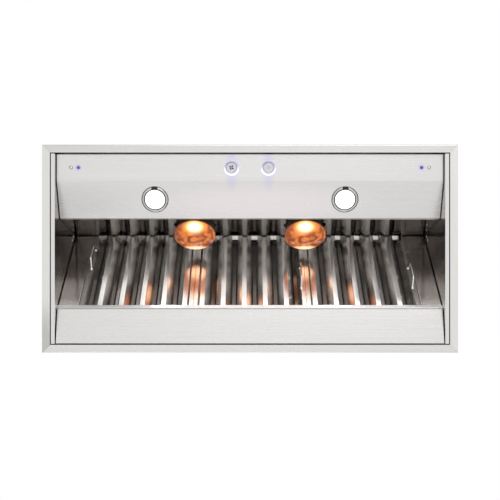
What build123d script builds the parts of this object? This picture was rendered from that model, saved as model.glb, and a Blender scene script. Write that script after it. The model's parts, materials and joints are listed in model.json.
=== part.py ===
from build123d import *

import os

os.makedirs("parts", exist_ok=True)

# Island range hood: stainless canopy, lined cavity with three baffle filters, blower and ceiling duct cover.

# Frame: X along the hood, the control side faces -Y, Z up, origin at the centre of the rim's underside.

# Canopy
hood_width = 1219.2
hood_depth = 609.6
canopy_height = 457.2
top_depth = 400
band_height = 100
rim_flange = 23
sheet = 1.2
bend_radius = 2
seam_gap = 0.15

# Liner: the cavity seen from below
wall_inner_x = 572.8
wall_strip_width = 10
panel_half_width = 570.8
inner_half_width = 572.2
control_face_z = 18.9
control_front_y = -280.2
fold_y = -200.5
light_face_rear = (-92.0, 58.5)
lamp_panel_foot = (-89.4, 63.2)
lamp_panel_rise = (0.2172, 0.9761)
lamp_panel_length = 210.6

# Filter bank: a plane that slopes down towards the rear
slope_top = (0, -43.5, 272)
slope_along = (0, 0.6716, -0.7409)
slope_up = (0, 0.7409, 0.6716)
filter_pitch = 339.6
filter_width = 338.4
filter_start = -14
filter_end = 328
filter_thickness = 22
filter_rail = 12
filter_travel = 12
baffle_pitch = 63.3
baffle_sheet = 0.8
lower_channel_start = 25.4
upper_channel_start = 57.05
channels_per_row = 5
handle_wire = 5
handle_from_end = 129
handle_from_side = 12

# Grease tray
tray_front = (179.0, 25.5)
tray_rear = (279.0, 5.0)
tray_wall_top = 34

# Controls and lights
knob_x = 54.5
knob_y = -237.7
knob_radius = 17.3
knob_top_z = 13.6
knob_bottom_z = 1.8
bezel_radius = 22
bezel_z = 14.2
bushing_radius = 6
bushing_hole_radius = 6.4
spindle_radius = 3
spindle_clearance = 0.05
indicator_x = 507
panel_screw_x = 528.8
panel_detail_y = -239.7
light_x = 283
light_y = -146.9
light_trim_radius = 40
light_lens_radius = 29.6
light_can_radius = 31.5
light_can_depth = 34
light_notch = (18, 7)

# Heat lamps: t runs back along the axis from the widest ring of the bulb
lamp_x = 170
lamp_centre = (-39.0, 114.0)
lamp_back = (-0.755, 0.656)
lamp_side = (0.656, 0.755)
lamp_hole_radius = 66
lamp_hole_z = 134
bulb_radius = 63.5
bulb_crown = 20
bulb_neck_end = 118
bulb_neck_radius = 17.5
base_radius = 13.0
base_end = 145
socket_radius = 20
socket_end = 165

# Blower
blower_y = 80
blower_z = 335
scroll_radius = 98
scroll_width = 190
inlet_radius = 66
wheel_radius = 76
wheel_inner_radius = 63
wheel_length = 160
blade_count = 36
shaft_radius = 6
motor_radius = 45
motor_length = 88
motor_end_x = -200
outlet_front_y = -17.5
outlet_rear_y = 62

# Duct collar and its two damper flaps
collar_radius = 126.5
collar_height = 52
collar_flange_radius = 140
damper_z = 476
damper_pin_y = 7
damper_pin_radius = 3
flap_radius = 123.6
flap_sheet = 1.0
barrel_radius = 4.6
divider_height = 10

# Ceiling parts
cover_width = 380
cover_depth = 320
lower_cover_height = 300
upper_cover_height = 330
cover_overlap = 30
cover_travel = 200
cover_play = 0.6
rod_x = 165
rod_y = 135
rod_radius = 5
conduit_x = -132
conduit_y = -90
conduit_bore_radius = 8.5
conduit_thread_radius = 11
conduit_length = 30

# Boxes above the control panel and under the top plate
control_box_place = (190, -240)
control_box_size = (130, 56)
control_box_height = 34
junction_box_size = (104, 64)
junction_lid_size = (112, 72)
junction_depth = 46

# Values that follow
half_width = hood_width / 2
half_depth = hood_depth / 2
half_top = top_depth / 2
half_sheet = sheet / 2
strip_outer_x = wall_inner_x + sheet + wall_strip_width
deck_z = canopy_height
skin_top_z = deck_z - sheet - 0.1 - sheet
duct_cover_top = deck_z + lower_cover_height + upper_cover_height - cover_overlap
scroll_top_z = skin_top_z + sheet
rod_places = [(-rod_x, -rod_y), (-rod_x, rod_y), (rod_x, -rod_y), (rod_x, rod_y)]
rod_hole_radius = rod_radius + 0.5
conduit_hole_radius = conduit_thread_radius + 0.4

filter_plane = Plane(origin=slope_top, x_dir=(1, 0, 0), z_dir=slope_up)
section_plane = Plane(origin=slope_top, x_dir=slope_along, z_dir=(-1, 0, 0))


def write(piece, name):
    """Labels a finished piece and writes its own STEP file."""
    piece.part.label = name
    export_step(piece.part, f"parts/{name}.step")


def sheet_section(points, plane=Plane.YZ, thickness=sheet, bend=bend_radius):
    """The cross-section of a folded sheet, drawn about its centre line."""
    with BuildSketch(plane) as section:
        with BuildLine():
            FilletPolyline(*points, radius=bend)
        trace(line_width=thickness)
    return section.sketch


def outline(points, plane=Plane.YZ):
    """A flat face with straight edges."""
    with BuildSketch(plane) as face:
        with BuildLine():
            Polyline(*points, close=True)
        make_face()
    return face.sketch


def slope_point(along, up):
    """Y and Z of a point given along the filter slope and up from it."""
    y = slope_top[1] + along * slope_along[1] + up * slope_up[1]
    z = slope_top[2] + along * slope_along[2] + up * slope_up[2]
    return (y, z)


def lamp_point(back, side):
    """Y and Z of a point given along a heat lamp's axis and to its upper side."""
    y = lamp_centre[0] + back * lamp_back[0] + side * lamp_side[0]
    z = lamp_centre[1] + back * lamp_back[1] + side * lamp_side[1]
    return (y, z)


def panel_point(rise, behind=0):
    """Y and Z of a point up the lamp panel, and behind it."""
    y = lamp_panel_foot[0] + rise * lamp_panel_rise[0] - behind * lamp_panel_rise[1]
    z = lamp_panel_foot[1] + rise * lamp_panel_rise[1] + behind * lamp_panel_rise[0]
    return (y, z)


# Skins: the front and rear are folded from one sheet each, the ends are flat plates with a bottom flange
def skin_points(side):
    """Centre line of the front (-1) or rear (1) skin from its rim flange to its top flange."""
    outer = side * (half_depth - half_sheet)
    upper = side * (half_top - half_sheet)
    return [
        (side * (half_depth - rim_flange), half_sheet),
        (outer, half_sheet),
        (outer, band_height),
        (upper, skin_top_z),
        (side * (half_top - rim_flange), skin_top_z),
    ]


def mitre_cut(side):
    """Prisms that take the 45 degree mitres off the ends of a long rim flange."""
    reach = rim_flange + 1
    cuts = []
    for end in (-1, 1):
        corner = (end * (half_width - sheet), side * half_depth)
        inner = (corner[0] - end * reach, corner[1] - side * reach)
        cuts.append(outline([corner, inner, (end * half_width, inner[1])], Plane.XY.offset(-1)))
    return cuts


skin_length = hood_width - 2 * (sheet + seam_gap)

with BuildPart() as front_skin:
    extrude(sheet_section(skin_points(-1)), amount=skin_length / 2, both=True)
    for prism in mitre_cut(-1):
        extrude(prism, amount=sheet + 2, mode=Mode.SUBTRACT)

with BuildPart() as rear_skin:
    extrude(sheet_section(skin_points(1)), amount=skin_length / 2, both=True)
    for prism in mitre_cut(1):
        extrude(prism, amount=sheet + 2, mode=Mode.SUBTRACT)


def end_skin_outline():
    """Silhouette of the canopy seen from its end."""
    return [
        (-half_depth, 0),
        (half_depth, 0),
        (half_depth, band_height),
        (half_top, deck_z),
        (-half_top, deck_z),
        (-half_depth, band_height),
    ]


def end_flange(end):
    """The mitred rim flange of one end skin."""
    face_x = end * (half_width - sheet)
    inner_x = end * (half_width - rim_flange)
    near = half_depth - 3 * seam_gap
    far = half_depth - (rim_flange - sheet) - 3 * seam_gap
    return [(face_x, -near), (face_x, near), (inner_x, far), (inner_x, -far)]


with BuildPart() as left_end_skin:
    extrude(outline(end_skin_outline(), Plane.YZ.offset(-half_width)), amount=sheet)
    extrude(outline(end_flange(-1), Plane.XY), amount=sheet)

with BuildPart() as right_end_skin:
    extrude(outline(end_skin_outline(), Plane.YZ.offset(half_width)), amount=-sheet)
    extrude(outline(end_flange(1), Plane.XY), amount=sheet)

with BuildPart() as top_plate:
    with BuildSketch(Plane.XY.offset(deck_z - sheet)):
        Rectangle(skin_length, top_depth)
        Circle(collar_radius - sheet, mode=Mode.SUBTRACT)
        with Locations(*rod_places):
            Circle(rod_hole_radius, mode=Mode.SUBTRACT)
        with Locations((conduit_x, conduit_y)):
            Circle(conduit_hole_radius, mode=Mode.SUBTRACT)
    extrude(amount=sheet)

for piece, name in (
    (front_skin, "front_skin"),
    (rear_skin, "rear_skin"),
    (left_end_skin, "left_end_skin"),
    (right_end_skin, "right_end_skin"),
    (top_plate, "top_plate"),
):
    write(piece, name)


# Liner walls: a flat wall with a narrow strip folded outwards along the rim
wall_foot_z = 1.8
wall_y = 279.0
wall_top_z = 312
wall_shape = [
    (-wall_y, wall_foot_z),
    (wall_y, wall_foot_z),
    (wall_y, 45),
    (10, wall_top_z),
    (-215, wall_top_z),
    (-wall_y, 70),
]
wall_screw_places = [(-40, 238), (-28, 222)]
screw_hole_radius = 2.3


def liner_wall(end):
    """The wall of the cavity at one end, with clearance holes for its screws."""
    with BuildPart() as wall:
        extrude(outline(wall_shape, Plane.YZ.offset(end * wall_inner_x)), amount=end * sheet)
        with BuildSketch(Plane.XY.offset(wall_foot_z)):
            with Locations((end * (wall_inner_x + strip_outer_x) / 2, 0)):
                Rectangle(strip_outer_x - wall_inner_x, 2 * wall_y)
        extrude(amount=sheet)
        with BuildSketch(Plane.YZ.offset(end * wall_inner_x)):
            with Locations(*wall_screw_places):
                Circle(screw_hole_radius)
        extrude(amount=end * sheet, mode=Mode.SUBTRACT)
    return wall


write(liner_wall(-1), "liner_left_wall")
write(liner_wall(1), "liner_right_wall")


# Control panel: front lip, flat control face, tilted light face and a short flange behind the lamp panel
light_slope = Vector(0, light_face_rear[0] - fold_y, light_face_rear[1] - control_face_z).normalized()
light_out = Vector(0, light_slope.Z, -light_slope.Y)
light_face_z = control_face_z + (light_y - fold_y) * light_slope.Z / light_slope.Y
flange_rise = 8
front_lip_z = 62
indicator_stem_radius = 3.9
indicator_hole_radius = 4.2


def light_plane(x):
    """The light face's plane at one task light, facing down out of the hood."""
    return Plane(origin=(x, light_y, light_face_z), x_dir=(1, 0, 0), z_dir=light_out)


with BuildPart() as control_panel:
    rear_flange_top = (
        light_face_rear[0] + flange_rise * lamp_panel_rise[0],
        light_face_rear[1] + flange_rise * lamp_panel_rise[1],
    )
    path = [
        (control_front_y, front_lip_z),
        (control_front_y, control_face_z),
        (fold_y, control_face_z),
        light_face_rear,
        rear_flange_top,
    ]
    extrude(sheet_section(path), amount=panel_half_width, both=True)
    with BuildSketch(Plane.XY):
        with Locations((-knob_x, knob_y), (knob_x, knob_y)):
            Circle(bushing_hole_radius)
        with Locations((-indicator_x, panel_detail_y), (indicator_x, panel_detail_y)):
            Circle(indicator_hole_radius)
        with Locations((-panel_screw_x, panel_detail_y), (panel_screw_x, panel_detail_y)):
            Circle(screw_hole_radius)
    extrude(amount=control_face_z + 3, mode=Mode.SUBTRACT)
    for x in (-light_x, light_x):
        with BuildSketch(light_plane(x).offset(-3)):
            Circle(light_can_radius + 0.5)
        extrude(amount=6, mode=Mode.SUBTRACT)
write(control_panel, "control_panel")

# Lamp panel: steep and polished, with one round hole for each heat lamp
lamp_panel_plane = Plane(
    origin=(0, *panel_point(0)),
    x_dir=(1, 0, 0),
    z_dir=(0, lamp_panel_rise[1], -lamp_panel_rise[0]),
)
lamp_hole_rise = (lamp_hole_z - lamp_panel_foot[1]) / lamp_panel_rise[1]

with BuildPart() as lamp_panel:
    corners = [
        panel_point(0, -half_sheet),
        panel_point(0, half_sheet),
        panel_point(lamp_panel_length, half_sheet),
        panel_point(lamp_panel_length, -half_sheet),
    ]
    extrude(outline(corners), amount=inner_half_width, both=True)
    for x in (-lamp_x, lamp_x):
        hole_plane = Plane(
            origin=(x, *panel_point(lamp_hole_rise)), x_dir=(1, 0, 0), z_dir=lamp_panel_plane.z_dir
        )
        with BuildSketch(hole_plane.offset(-3)):
            Circle(lamp_hole_radius)
        extrude(amount=6, mode=Mode.SUBTRACT)
write(lamp_panel, "lamp_panel")


# Rails that hold the filter bank, both drawn across the slope and run the width of the cavity
def slope_sheet(points, bend=bend_radius):
    """Cross-section given along the slope and up from it."""
    return sheet_section([slope_point(along, up) for along, up in points], bend=bend)


channel_back = filter_start - filter_travel - 3
channel_lip_up = -1.2
channel_top_up = filter_thickness + 1.2

with BuildPart() as filter_top_channel:
    path = [(-1, channel_lip_up), (channel_back, channel_lip_up), (channel_back, channel_top_up)]
    extrude(slope_sheet(path + [(-6, channel_top_up)]), amount=inner_half_width, both=True)
write(filter_top_channel, "filter_top_channel")

ledge_along = filter_end + 0.4 + half_sheet
ledge_height = 30
ledge_flange = 18

with BuildPart() as filter_rest_rail:
    path = [(filter_end - filter_travel + 1, channel_lip_up), (ledge_along, channel_lip_up)]
    path += [(ledge_along, ledge_height), (ledge_along + ledge_flange, ledge_height)]
    extrude(slope_sheet(path), amount=inner_half_width, both=True)
write(filter_rest_rail, "filter_rest_rail")

# Filler plates: channels that close the slope beside the filters
bank_half_width = 1.5 * filter_pitch
filler_inner_x = bank_half_width + 0.4
filler_height = 20
filler_start = -12
filler_end = filter_end - 0.6


def across_plane(along, x=0):
    """Plane across the slope: its x runs along the hood and its y points up from the slope."""
    return Plane(
        origin=(x, *slope_point(along, 0)), x_dir=(-1, 0, 0), z_dir=slope_along
    )


def filler_plate(end):
    """One filler channel, its flat face level with the filters' lower faces."""
    inner = -end * (filler_inner_x + half_sheet)
    outer = -end * (inner_half_width - half_sheet)
    path = [(inner, filler_height), (inner, half_sheet), (outer, half_sheet), (outer, filler_height)]
    with BuildPart() as plate:
        extrude(sheet_section(path, across_plane(filler_start)), amount=filler_end - filler_start)
    return plate


write(filler_plate(-1), "left_filler_plate")
write(filler_plate(1), "right_filler_plate")


# Baffle filters: a frame of folded rails, two interleaved rows of channels and a wire handle
def filter_frame(centre_x):
    """A ring of C-shaped rails, open inwards."""
    length = filter_end - filter_start
    middle = (filter_end + filter_start) / 2
    window = 2 * filter_rail
    with BuildPart() as frame:
        with BuildSketch(filter_plane):
            with Locations((centre_x, middle)):
                Rectangle(filter_width, length)
                Rectangle(filter_width - window, length - window, mode=Mode.SUBTRACT)
        extrude(amount=filter_thickness)
        with BuildSketch(filter_plane.offset(sheet)):
            with Locations((centre_x, middle)):
                Rectangle(filter_width - 2 * sheet, length - 2 * sheet)
        extrude(amount=filter_thickness - 2 * sheet, mode=Mode.SUBTRACT)
    return frame


lower_row = [(-21, 12.4), (-7, 1.9), (7, 1.9), (21, 12.4)]
upper_row = [(-19.5, 9.4), (-5.5, 19.9), (5.5, 19.9), (19.5, 9.4)]
channel_inset = sheet + 0.4
upper_channel_gap = filter_rail + 10


def filter_baffles(centre_x, turn):
    """Both rows of channels; turn is 1, or -1 where the filter is fitted the other way up."""
    with BuildPart() as baffles:
        for k in range(channels_per_row):
            lower_x = centre_x + turn * (lower_channel_start + k * baffle_pitch - filter_width / 2)
            upper_x = centre_x + turn * (upper_channel_start + k * baffle_pitch - filter_width / 2)
            start = filter_start + channel_inset
            end = filter_end - channel_inset
            section = sheet_section(lower_row, across_plane(start, lower_x), baffle_sheet, bend=1)
            extrude(section, amount=end - start)
            start = filter_start + (upper_channel_gap if turn > 0 else channel_inset)
            end = filter_end - (channel_inset if turn > 0 else upper_channel_gap)
            section = sheet_section(upper_row, across_plane(start, upper_x), baffle_sheet, bend=1)
            extrude(section, amount=end - start)
    return baffles


handle_foot = 44
handle_grip = 32
handle_reach = 33


def filter_handle(centre_x, turn):
    """A wire handle bent to a trapezoid, standing off one side rail."""
    x = centre_x + turn * (filter_width / 2 - handle_from_side)
    middle = handle_from_end + filter_start
    if turn > 0:
        middle = filter_end - handle_from_end
    points = [(-handle_foot, -0.1), (-handle_grip, -handle_reach),
              (handle_grip, -handle_reach), (handle_foot, -0.1)]
    route = [(x, *slope_point(middle + along, up)) for along, up in points]
    with BuildPart() as handle:
        with BuildLine() as bow:
            FilletPolyline(*route, radius=7)
        with BuildSketch(Plane(origin=route[0], z_dir=bow.line % 0)):
            Circle(handle_wire / 2)
        sweep(path=bow.line)
        split(bisect_by=filter_plane.offset(-0.05), keep=Keep.BOTTOM)
    return handle


for side, place, turn in (("left", -1, -1), ("middle", 0, 1), ("right", 1, 1)):
    write(filter_frame(place * filter_pitch), f"{side}_filter_frame")
    write(filter_baffles(place * filter_pitch, turn), f"{side}_filter_baffles")
    write(filter_handle(place * filter_pitch, turn), f"{side}_filter_handle")


# Grease tray: its floor is the sloped panel at the rear, with a rear wall, an inward lip and end caps
tray_half_width = panel_half_width - 0.4
tray_lip = 10

with BuildPart() as grease_tray:
    wall_top = (tray_rear[0], tray_wall_top)
    floor_path = [tray_front, tray_rear, wall_top, (tray_rear[0] - tray_lip, tray_wall_top)]
    extrude(sheet_section(floor_path, bend=1.5), amount=tray_half_width, both=True)
    cap = [
        tray_front,
        tray_rear,
        wall_top,
        (tray_front[0] + 30, tray_front[1] + 3),
    ]
    for end in (-1, 1):
        extrude(outline(cap, Plane.YZ.offset(end * tray_half_width)), amount=-end * sheet)
write(grease_tray, "grease_tray")


# Knobs: a turned cap with grip flutes on a spindle, a lit bezel behind it, and the switch above the panel
knob_flutes = 24
flute_radius = 1.1
flute_inset = 2
pointer_length = 5
pointer_width = 1.4
spindle_top_z = 38
switch_side = 34
switch_height = 24
switch_tab = (1, 6)
bushing_foot_z = knob_top_z + 0.8
panel_top_z = control_face_z + half_sheet


def knob(x):
    """Cap and spindle, turned about the vertical."""
    with BuildPart() as cap:
        with BuildSketch(Plane.XY.offset(knob_bottom_z)):
            with Locations((x, knob_y)):
                Circle(knob_radius)
        extrude(amount=knob_top_z - knob_bottom_z)
        chamfer(cap.edges().group_by(Axis.Z)[0], length=1.5)
        with BuildSketch(Plane.XY.offset(knob_bottom_z + flute_inset)):
            with Locations((x, knob_y)):
                with PolarLocations(knob_radius + flute_radius / 2, knob_flutes):
                    Circle(flute_radius)
        extrude(amount=knob_top_z - knob_bottom_z - 2 * flute_inset, mode=Mode.SUBTRACT)
        with BuildSketch(Plane.XY.offset(knob_bottom_z)):
            with Locations((x, knob_y + knob_radius - 4)):
                SlotOverall(pointer_length, pointer_width, rotation=90)
        extrude(amount=0.6, mode=Mode.SUBTRACT)
        with BuildSketch(Plane.XY.offset(knob_top_z)):
            with Locations((x, knob_y)):
                Circle(spindle_radius)
        extrude(amount=spindle_top_z - knob_top_z)
    return cap


def bezel(x):
    """The lit ring behind a knob."""
    height = control_face_z - half_sheet - 0.05 - bezel_z
    with BuildPart() as ring:
        with BuildSketch(Plane.XY.offset(bezel_z)):
            with Locations((x, knob_y)):
                Circle(bezel_radius)
                Circle(bushing_hole_radius, mode=Mode.SUBTRACT)
        extrude(amount=height)
        chamfer(ring.edges().group_by(Axis.Z)[0].sort_by(SortBy.LENGTH)[-1], length=1)
    return ring


def switch(x, length):
    """Rotary switch or dimmer body with the threaded bushing that the spindle runs in."""
    with BuildPart() as body:
        with BuildSketch(Plane.XY.offset(panel_top_z + 0.1)):
            with Locations((x, knob_y)):
                RectangleRounded(switch_side, length, 3)
        extrude(amount=switch_height)
        with BuildSketch(Plane.XY.offset(bushing_foot_z)):
            with Locations((x, knob_y)):
                Circle(bushing_radius)
        extrude(amount=panel_top_z + 1 - bushing_foot_z)
        with BuildSketch(Plane.XY.offset(knob_top_z)):
            with Locations((x, knob_y)):
                Circle(spindle_radius + spindle_clearance)
        extrude(amount=spindle_top_z - knob_top_z + 1, mode=Mode.SUBTRACT)
        with BuildSketch(Plane.XY.offset(panel_top_z + 0.1 + switch_height)):
            with Locations((x - 10, knob_y), (x, knob_y + 10), (x + 10, knob_y)):
                Rectangle(*switch_tab)
        extrude(amount=7)
    return body


write(knob(-knob_x), "fan_knob")
write(bezel(-knob_x), "fan_knob_bezel")
write(switch(-knob_x, 40), "fan_switch")
write(knob(knob_x), "light_knob")
write(bezel(knob_x), "light_knob_bezel")
write(switch(knob_x, 48), "light_dimmer")

# Indicator lenses and panel screws
seat_z = control_face_z - half_sheet - 0.05
indicator_radius = 4.8
screw_head_radius = 4.2
screw_head_height = 2.2
screw_shank_radius = 2
screw_recess = (4.6, 1)

with BuildPart() as indicator_lenses:
    for x in (-indicator_x, indicator_x):
        with BuildSketch(Plane.XY.offset(seat_z)):
            with Locations((x, panel_detail_y)):
                Circle(indicator_radius)
        extrude(amount=-2)
        with BuildSketch(Plane.XY.offset(seat_z)):
            with Locations((x, panel_detail_y)):
                Circle(indicator_stem_radius)
        extrude(amount=14)
    fillet(indicator_lenses.edges().group_by(Axis.Z)[0], radius=1.8)
write(indicator_lenses, "indicator_lenses")

with BuildPart() as panel_screws:
    for x in (-panel_screw_x, panel_screw_x):
        with BuildSketch(Plane.XY.offset(seat_z)):
            with Locations((x, panel_detail_y)):
                Circle(screw_head_radius)
        extrude(amount=-screw_head_height)
        with BuildSketch(Plane.XY.offset(seat_z)):
            with Locations((x, panel_detail_y)):
                Circle(screw_shank_radius)
        extrude(amount=12)
    fillet(panel_screws.edges().group_by(Axis.Z)[0], radius=1.5)
    for x in (-panel_screw_x, panel_screw_x):
        with BuildSketch(Plane.XY.offset(seat_z - screw_head_height)):
            with Locations((x, panel_detail_y)):
                Rectangle(*screw_recess)
                Rectangle(*reversed(screw_recess))
        extrude(amount=1.2, mode=Mode.SUBTRACT)
write(panel_screws, "panel_screws")

# Dome screws through the liner walls, heads inside the cavity
dome_radius = 4.5
dome_height = 2.4
wall_seat_x = wall_inner_x - 0.05

with BuildPart() as wall_screws:
    for end in (-1, 1):
        with BuildSketch(Plane.YZ.offset(end * wall_seat_x)):
            with Locations(*wall_screw_places):
                Circle(dome_radius)
        extrude(amount=-end * dome_height)
        with BuildSketch(Plane.YZ.offset(end * wall_seat_x)):
            with Locations(*wall_screw_places):
                Circle(screw_shank_radius)
        extrude(amount=end * 10)
    rims = wall_screws.edges().filter_by(GeomType.CIRCLE)
    crown_x = wall_seat_x - dome_height
    fillet(rims.filter_by(lambda rim: abs(abs(rim.center().X) - crown_x) < 0.01), radius=1.6)
write(wall_screws, "wall_screws")


# Task lights: a chrome trim ring with a notch, a frosted lens and a can behind the light face
def light_trim(x):
    """Trim ring that clips to the underside of the light face."""
    face = light_plane(x).offset(half_sheet + 0.05)
    with BuildPart() as trim:
        with BuildSketch(face):
            Circle(light_trim_radius)
            Circle(light_lens_radius + 0.4, mode=Mode.SUBTRACT)
        extrude(amount=3.4)
        outer_edge = trim.edges().filter_by(GeomType.CIRCLE).sort_by(Axis.Z)[0]
        chamfer(outer_edge, length=1.2)
        with BuildSketch(face):
            with Locations((0, light_trim_radius - light_notch[1] / 2)):
                Rectangle(*light_notch)
        extrude(amount=4, mode=Mode.SUBTRACT)
    return trim


def light_lens(x):
    """Frosted lens set just below the face of the trim ring."""
    with BuildPart() as lens:
        with BuildSketch(light_plane(x).offset(0.9)):
            Circle(light_lens_radius)
        extrude(amount=2)
    return lens


def light_can(x):
    """Cup that holds the lamp above the panel."""
    with BuildPart() as can:
        with BuildSketch(light_plane(x).offset(-light_can_depth)):
            Circle(light_can_radius)
        extrude(amount=light_can_depth + half_sheet)
        with BuildSketch(light_plane(x).offset(-light_can_depth + 2)):
            Circle(light_can_radius - 1.5)
        extrude(amount=light_can_depth, mode=Mode.SUBTRACT)
    return can


# Heat lamps: reflector bulb, screw base, porcelain socket and a bent bracket behind the lamp panel
def lamp_profile_plane(x):
    """Plane through a heat lamp's axis; y runs back along the axis from the bulb's widest ring."""
    return Plane(origin=(x, *lamp_centre), x_dir=(1, 0, 0), z_dir=(0, -lamp_side[0], -lamp_side[1]))


def lamp_axis_plane(x, back):
    """Plane square to a heat lamp's axis, a given distance back."""
    return Plane(origin=(x, *lamp_point(back, 0)), x_dir=(1, 0, 0), z_dir=(0, *lamp_back))


def heat_lamp(x):
    """The glass bulb."""
    with BuildPart() as bulb:
        with BuildSketch(lamp_profile_plane(x)):
            with BuildLine():
                ThreePointArc((0, -bulb_crown), (38, -bulb_crown * 0.62), (bulb_radius - 2.5, -1.5))
                ThreePointArc((bulb_radius - 2.5, -1.5), (bulb_radius, 3), (bulb_radius - 0.6, 8))
                Spline((bulb_radius - 0.6, 8), (54, 42), (38, 80), (22, 106),
                       (bulb_neck_radius, bulb_neck_end))
                Line((bulb_neck_radius, bulb_neck_end), (0, bulb_neck_end))
                Line((0, bulb_neck_end), (0, -bulb_crown))
            make_face()
        revolve(axis=Axis((x, *lamp_centre), (0, *lamp_back)))
    return bulb


def lamp_base(x):
    """Screw base with rolled thread ridges and a centre contact."""
    ridge_pitch = 3.6
    with BuildPart() as base:
        with BuildSketch(lamp_axis_plane(x, bulb_neck_end + 0.05)):
            Circle(base_radius - 0.9)
        extrude(amount=base_end - bulb_neck_end - 4)
        for k in range(6):
            with BuildSketch(lamp_axis_plane(x, bulb_neck_end + 2.5 + k * ridge_pitch)):
                Circle(base_radius)
            extrude(amount=ridge_pitch / 2)
        with BuildSketch(lamp_axis_plane(x, base_end - 4)):
            Circle(5)
        extrude(amount=3.5)
    return base


def lamp_socket(x):
    """Porcelain socket."""
    with BuildPart() as socket:
        with BuildSketch(lamp_axis_plane(x, bulb_neck_end + 1)):
            Circle(socket_radius)
        extrude(amount=socket_end - bulb_neck_end - 1)
        with BuildSketch(lamp_axis_plane(x, bulb_neck_end)):
            Circle(base_radius + 0.5)
        extrude(amount=base_end - bulb_neck_end + 0.5, mode=Mode.SUBTRACT)
    return socket


for side, end in (("left", -1), ("right", 1)):
    write(light_trim(end * light_x), f"{side}_light_trim")
    write(light_lens(end * light_x), f"{side}_light_lens")
    write(light_can(end * light_x), f"{side}_light_can")
    write(heat_lamp(end * lamp_x), f"{side}_heat_lamp")
    write(lamp_base(end * lamp_x), f"{side}_lamp_base")
    write(lamp_socket(end * lamp_x), f"{side}_lamp_socket")

bracket_width = 36
bracket_back = socket_end + 0.8
bracket_gap = 1.8
bracket_foot = panel_point(155, bracket_gap)
bracket_foot_end = panel_point(180, bracket_gap)

with BuildPart() as lamp_brackets:
    path = [lamp_point(bracket_back, -22), lamp_point(bracket_back, 62), bracket_foot, bracket_foot_end]
    for x in (-lamp_x, lamp_x):
        extrude(sheet_section(path, Plane.YZ.offset(x)), amount=bracket_width / 2, both=True)
write(lamp_brackets, "lamp_brackets")

# Boxes: electronics above the control face, and the junction box under the top plate
with BuildPart() as control_box:
    with BuildSketch(Plane.XY.offset(panel_top_z + 0.1)):
        with Locations(control_box_place):
            RectangleRounded(*control_box_size, 4)
    extrude(amount=control_box_height)
    with BuildSketch(Plane.XY.offset(panel_top_z + 0.1 + control_box_height)):
        with Locations(control_box_place):
            with GridLocations(30, 0, 4, 1):
                SlotOverall(24, 3, rotation=90)
    extrude(amount=-2, mode=Mode.SUBTRACT)
write(control_box, "control_box")

junction_top = skin_top_z + half_sheet
connector_foot = junction_top - 6

with BuildPart() as junction_box:
    with BuildSketch(Plane.XY.offset(junction_top)):
        with Locations((conduit_x, conduit_y)):
            Rectangle(*junction_box_size)
    extrude(amount=-junction_depth)
    offset(amount=-sheet, openings=junction_box.faces().sort_by(Axis.Z)[0])
    with BuildSketch(Plane.XY.offset(junction_top)):
        with Locations((conduit_x, conduit_y)):
            Circle(conduit_hole_radius)
    extrude(amount=-3, mode=Mode.SUBTRACT)
    with BuildSketch(Plane.XY.offset(junction_top - junction_depth)):
        with Locations((conduit_x, conduit_y)):
            Rectangle(*junction_lid_size)
    extrude(amount=-sheet)
write(junction_box, "junction_box")

with BuildPart() as conduit_connector:
    with BuildSketch(Plane.XY.offset(connector_foot)):
        with Locations((conduit_x, conduit_y)):
            Circle(conduit_thread_radius)
    extrude(amount=conduit_length)
    with BuildSketch(Plane.XY.offset(deck_z + 0.1)):
        with Locations((conduit_x, conduit_y)):
            RegularPolygon(16, 6)
    extrude(amount=6)
    with BuildSketch(Plane.XY.offset(connector_foot)):
        with Locations((conduit_x, conduit_y)):
            Circle(conduit_bore_radius)
    extrude(amount=conduit_length, mode=Mode.SUBTRACT)
write(conduit_connector, "conduit_connector")


# Blower: scroll housing with an inlet at each end, a bladed wheel and an outboard motor
def blower_plane(x):
    """Plane square to the blower's shaft."""
    return Plane(origin=(x, blower_y, blower_z), x_dir=(0, 1, 0), z_dir=(1, 0, 0))


outlet_middle = (outlet_front_y + outlet_rear_y) / 2 - blower_y
outlet_span = outlet_rear_y - outlet_front_y
outlet_height = scroll_top_z - 0.2 - blower_z

with BuildPart() as blower_housing:
    with BuildSketch(blower_plane(-scroll_width / 2)):
        Circle(scroll_radius)
        with Locations((outlet_middle, outlet_height / 2)):
            Rectangle(outlet_span, outlet_height)
    extrude(amount=scroll_width)
    with BuildSketch(blower_plane(-scroll_width / 2 + sheet)):
        Circle(scroll_radius - sheet)
        with Locations((outlet_middle, outlet_height / 2)):
            Rectangle(outlet_span - 2 * sheet, outlet_height + 4)
    extrude(amount=scroll_width - 2 * sheet, mode=Mode.SUBTRACT)
    with BuildSketch(blower_plane(-scroll_width / 2)):
        Circle(inlet_radius)
    extrude(amount=scroll_width, mode=Mode.SUBTRACT)
write(blower_housing, "blower_housing")

blade_lean = 25
wheel_ring = 3
hub_radius = 16
hub_length = 24
motor_face_x = motor_end_x + motor_length
shaft_reach = 20

with BuildPart() as blower_wheel:
    with BuildSketch(blower_plane(-wheel_length / 2)):
        with PolarLocations((wheel_radius + wheel_inner_radius) / 2, blade_count, rotate=True):
            Rectangle(wheel_radius - wheel_inner_radius - 1, sheet, rotation=blade_lean)
    extrude(amount=wheel_length)
    for x in (-wheel_length / 2, wheel_length / 2 - wheel_ring):
        with BuildSketch(blower_plane(x)):
            Circle(wheel_radius)
            Circle(wheel_inner_radius - 1, mode=Mode.SUBTRACT)
        extrude(amount=wheel_ring)
    with BuildSketch(blower_plane(-wheel_ring / 2)):
        Circle(wheel_radius)
    extrude(amount=wheel_ring)
    with BuildSketch(blower_plane(-hub_length / 2)):
        Circle(hub_radius)
    extrude(amount=hub_length)
    with BuildSketch(blower_plane(motor_face_x - shaft_reach)):
        Circle(shaft_radius)
    extrude(amount=shaft_reach - motor_face_x + shaft_reach)
write(blower_wheel, "blower_wheel")

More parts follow.
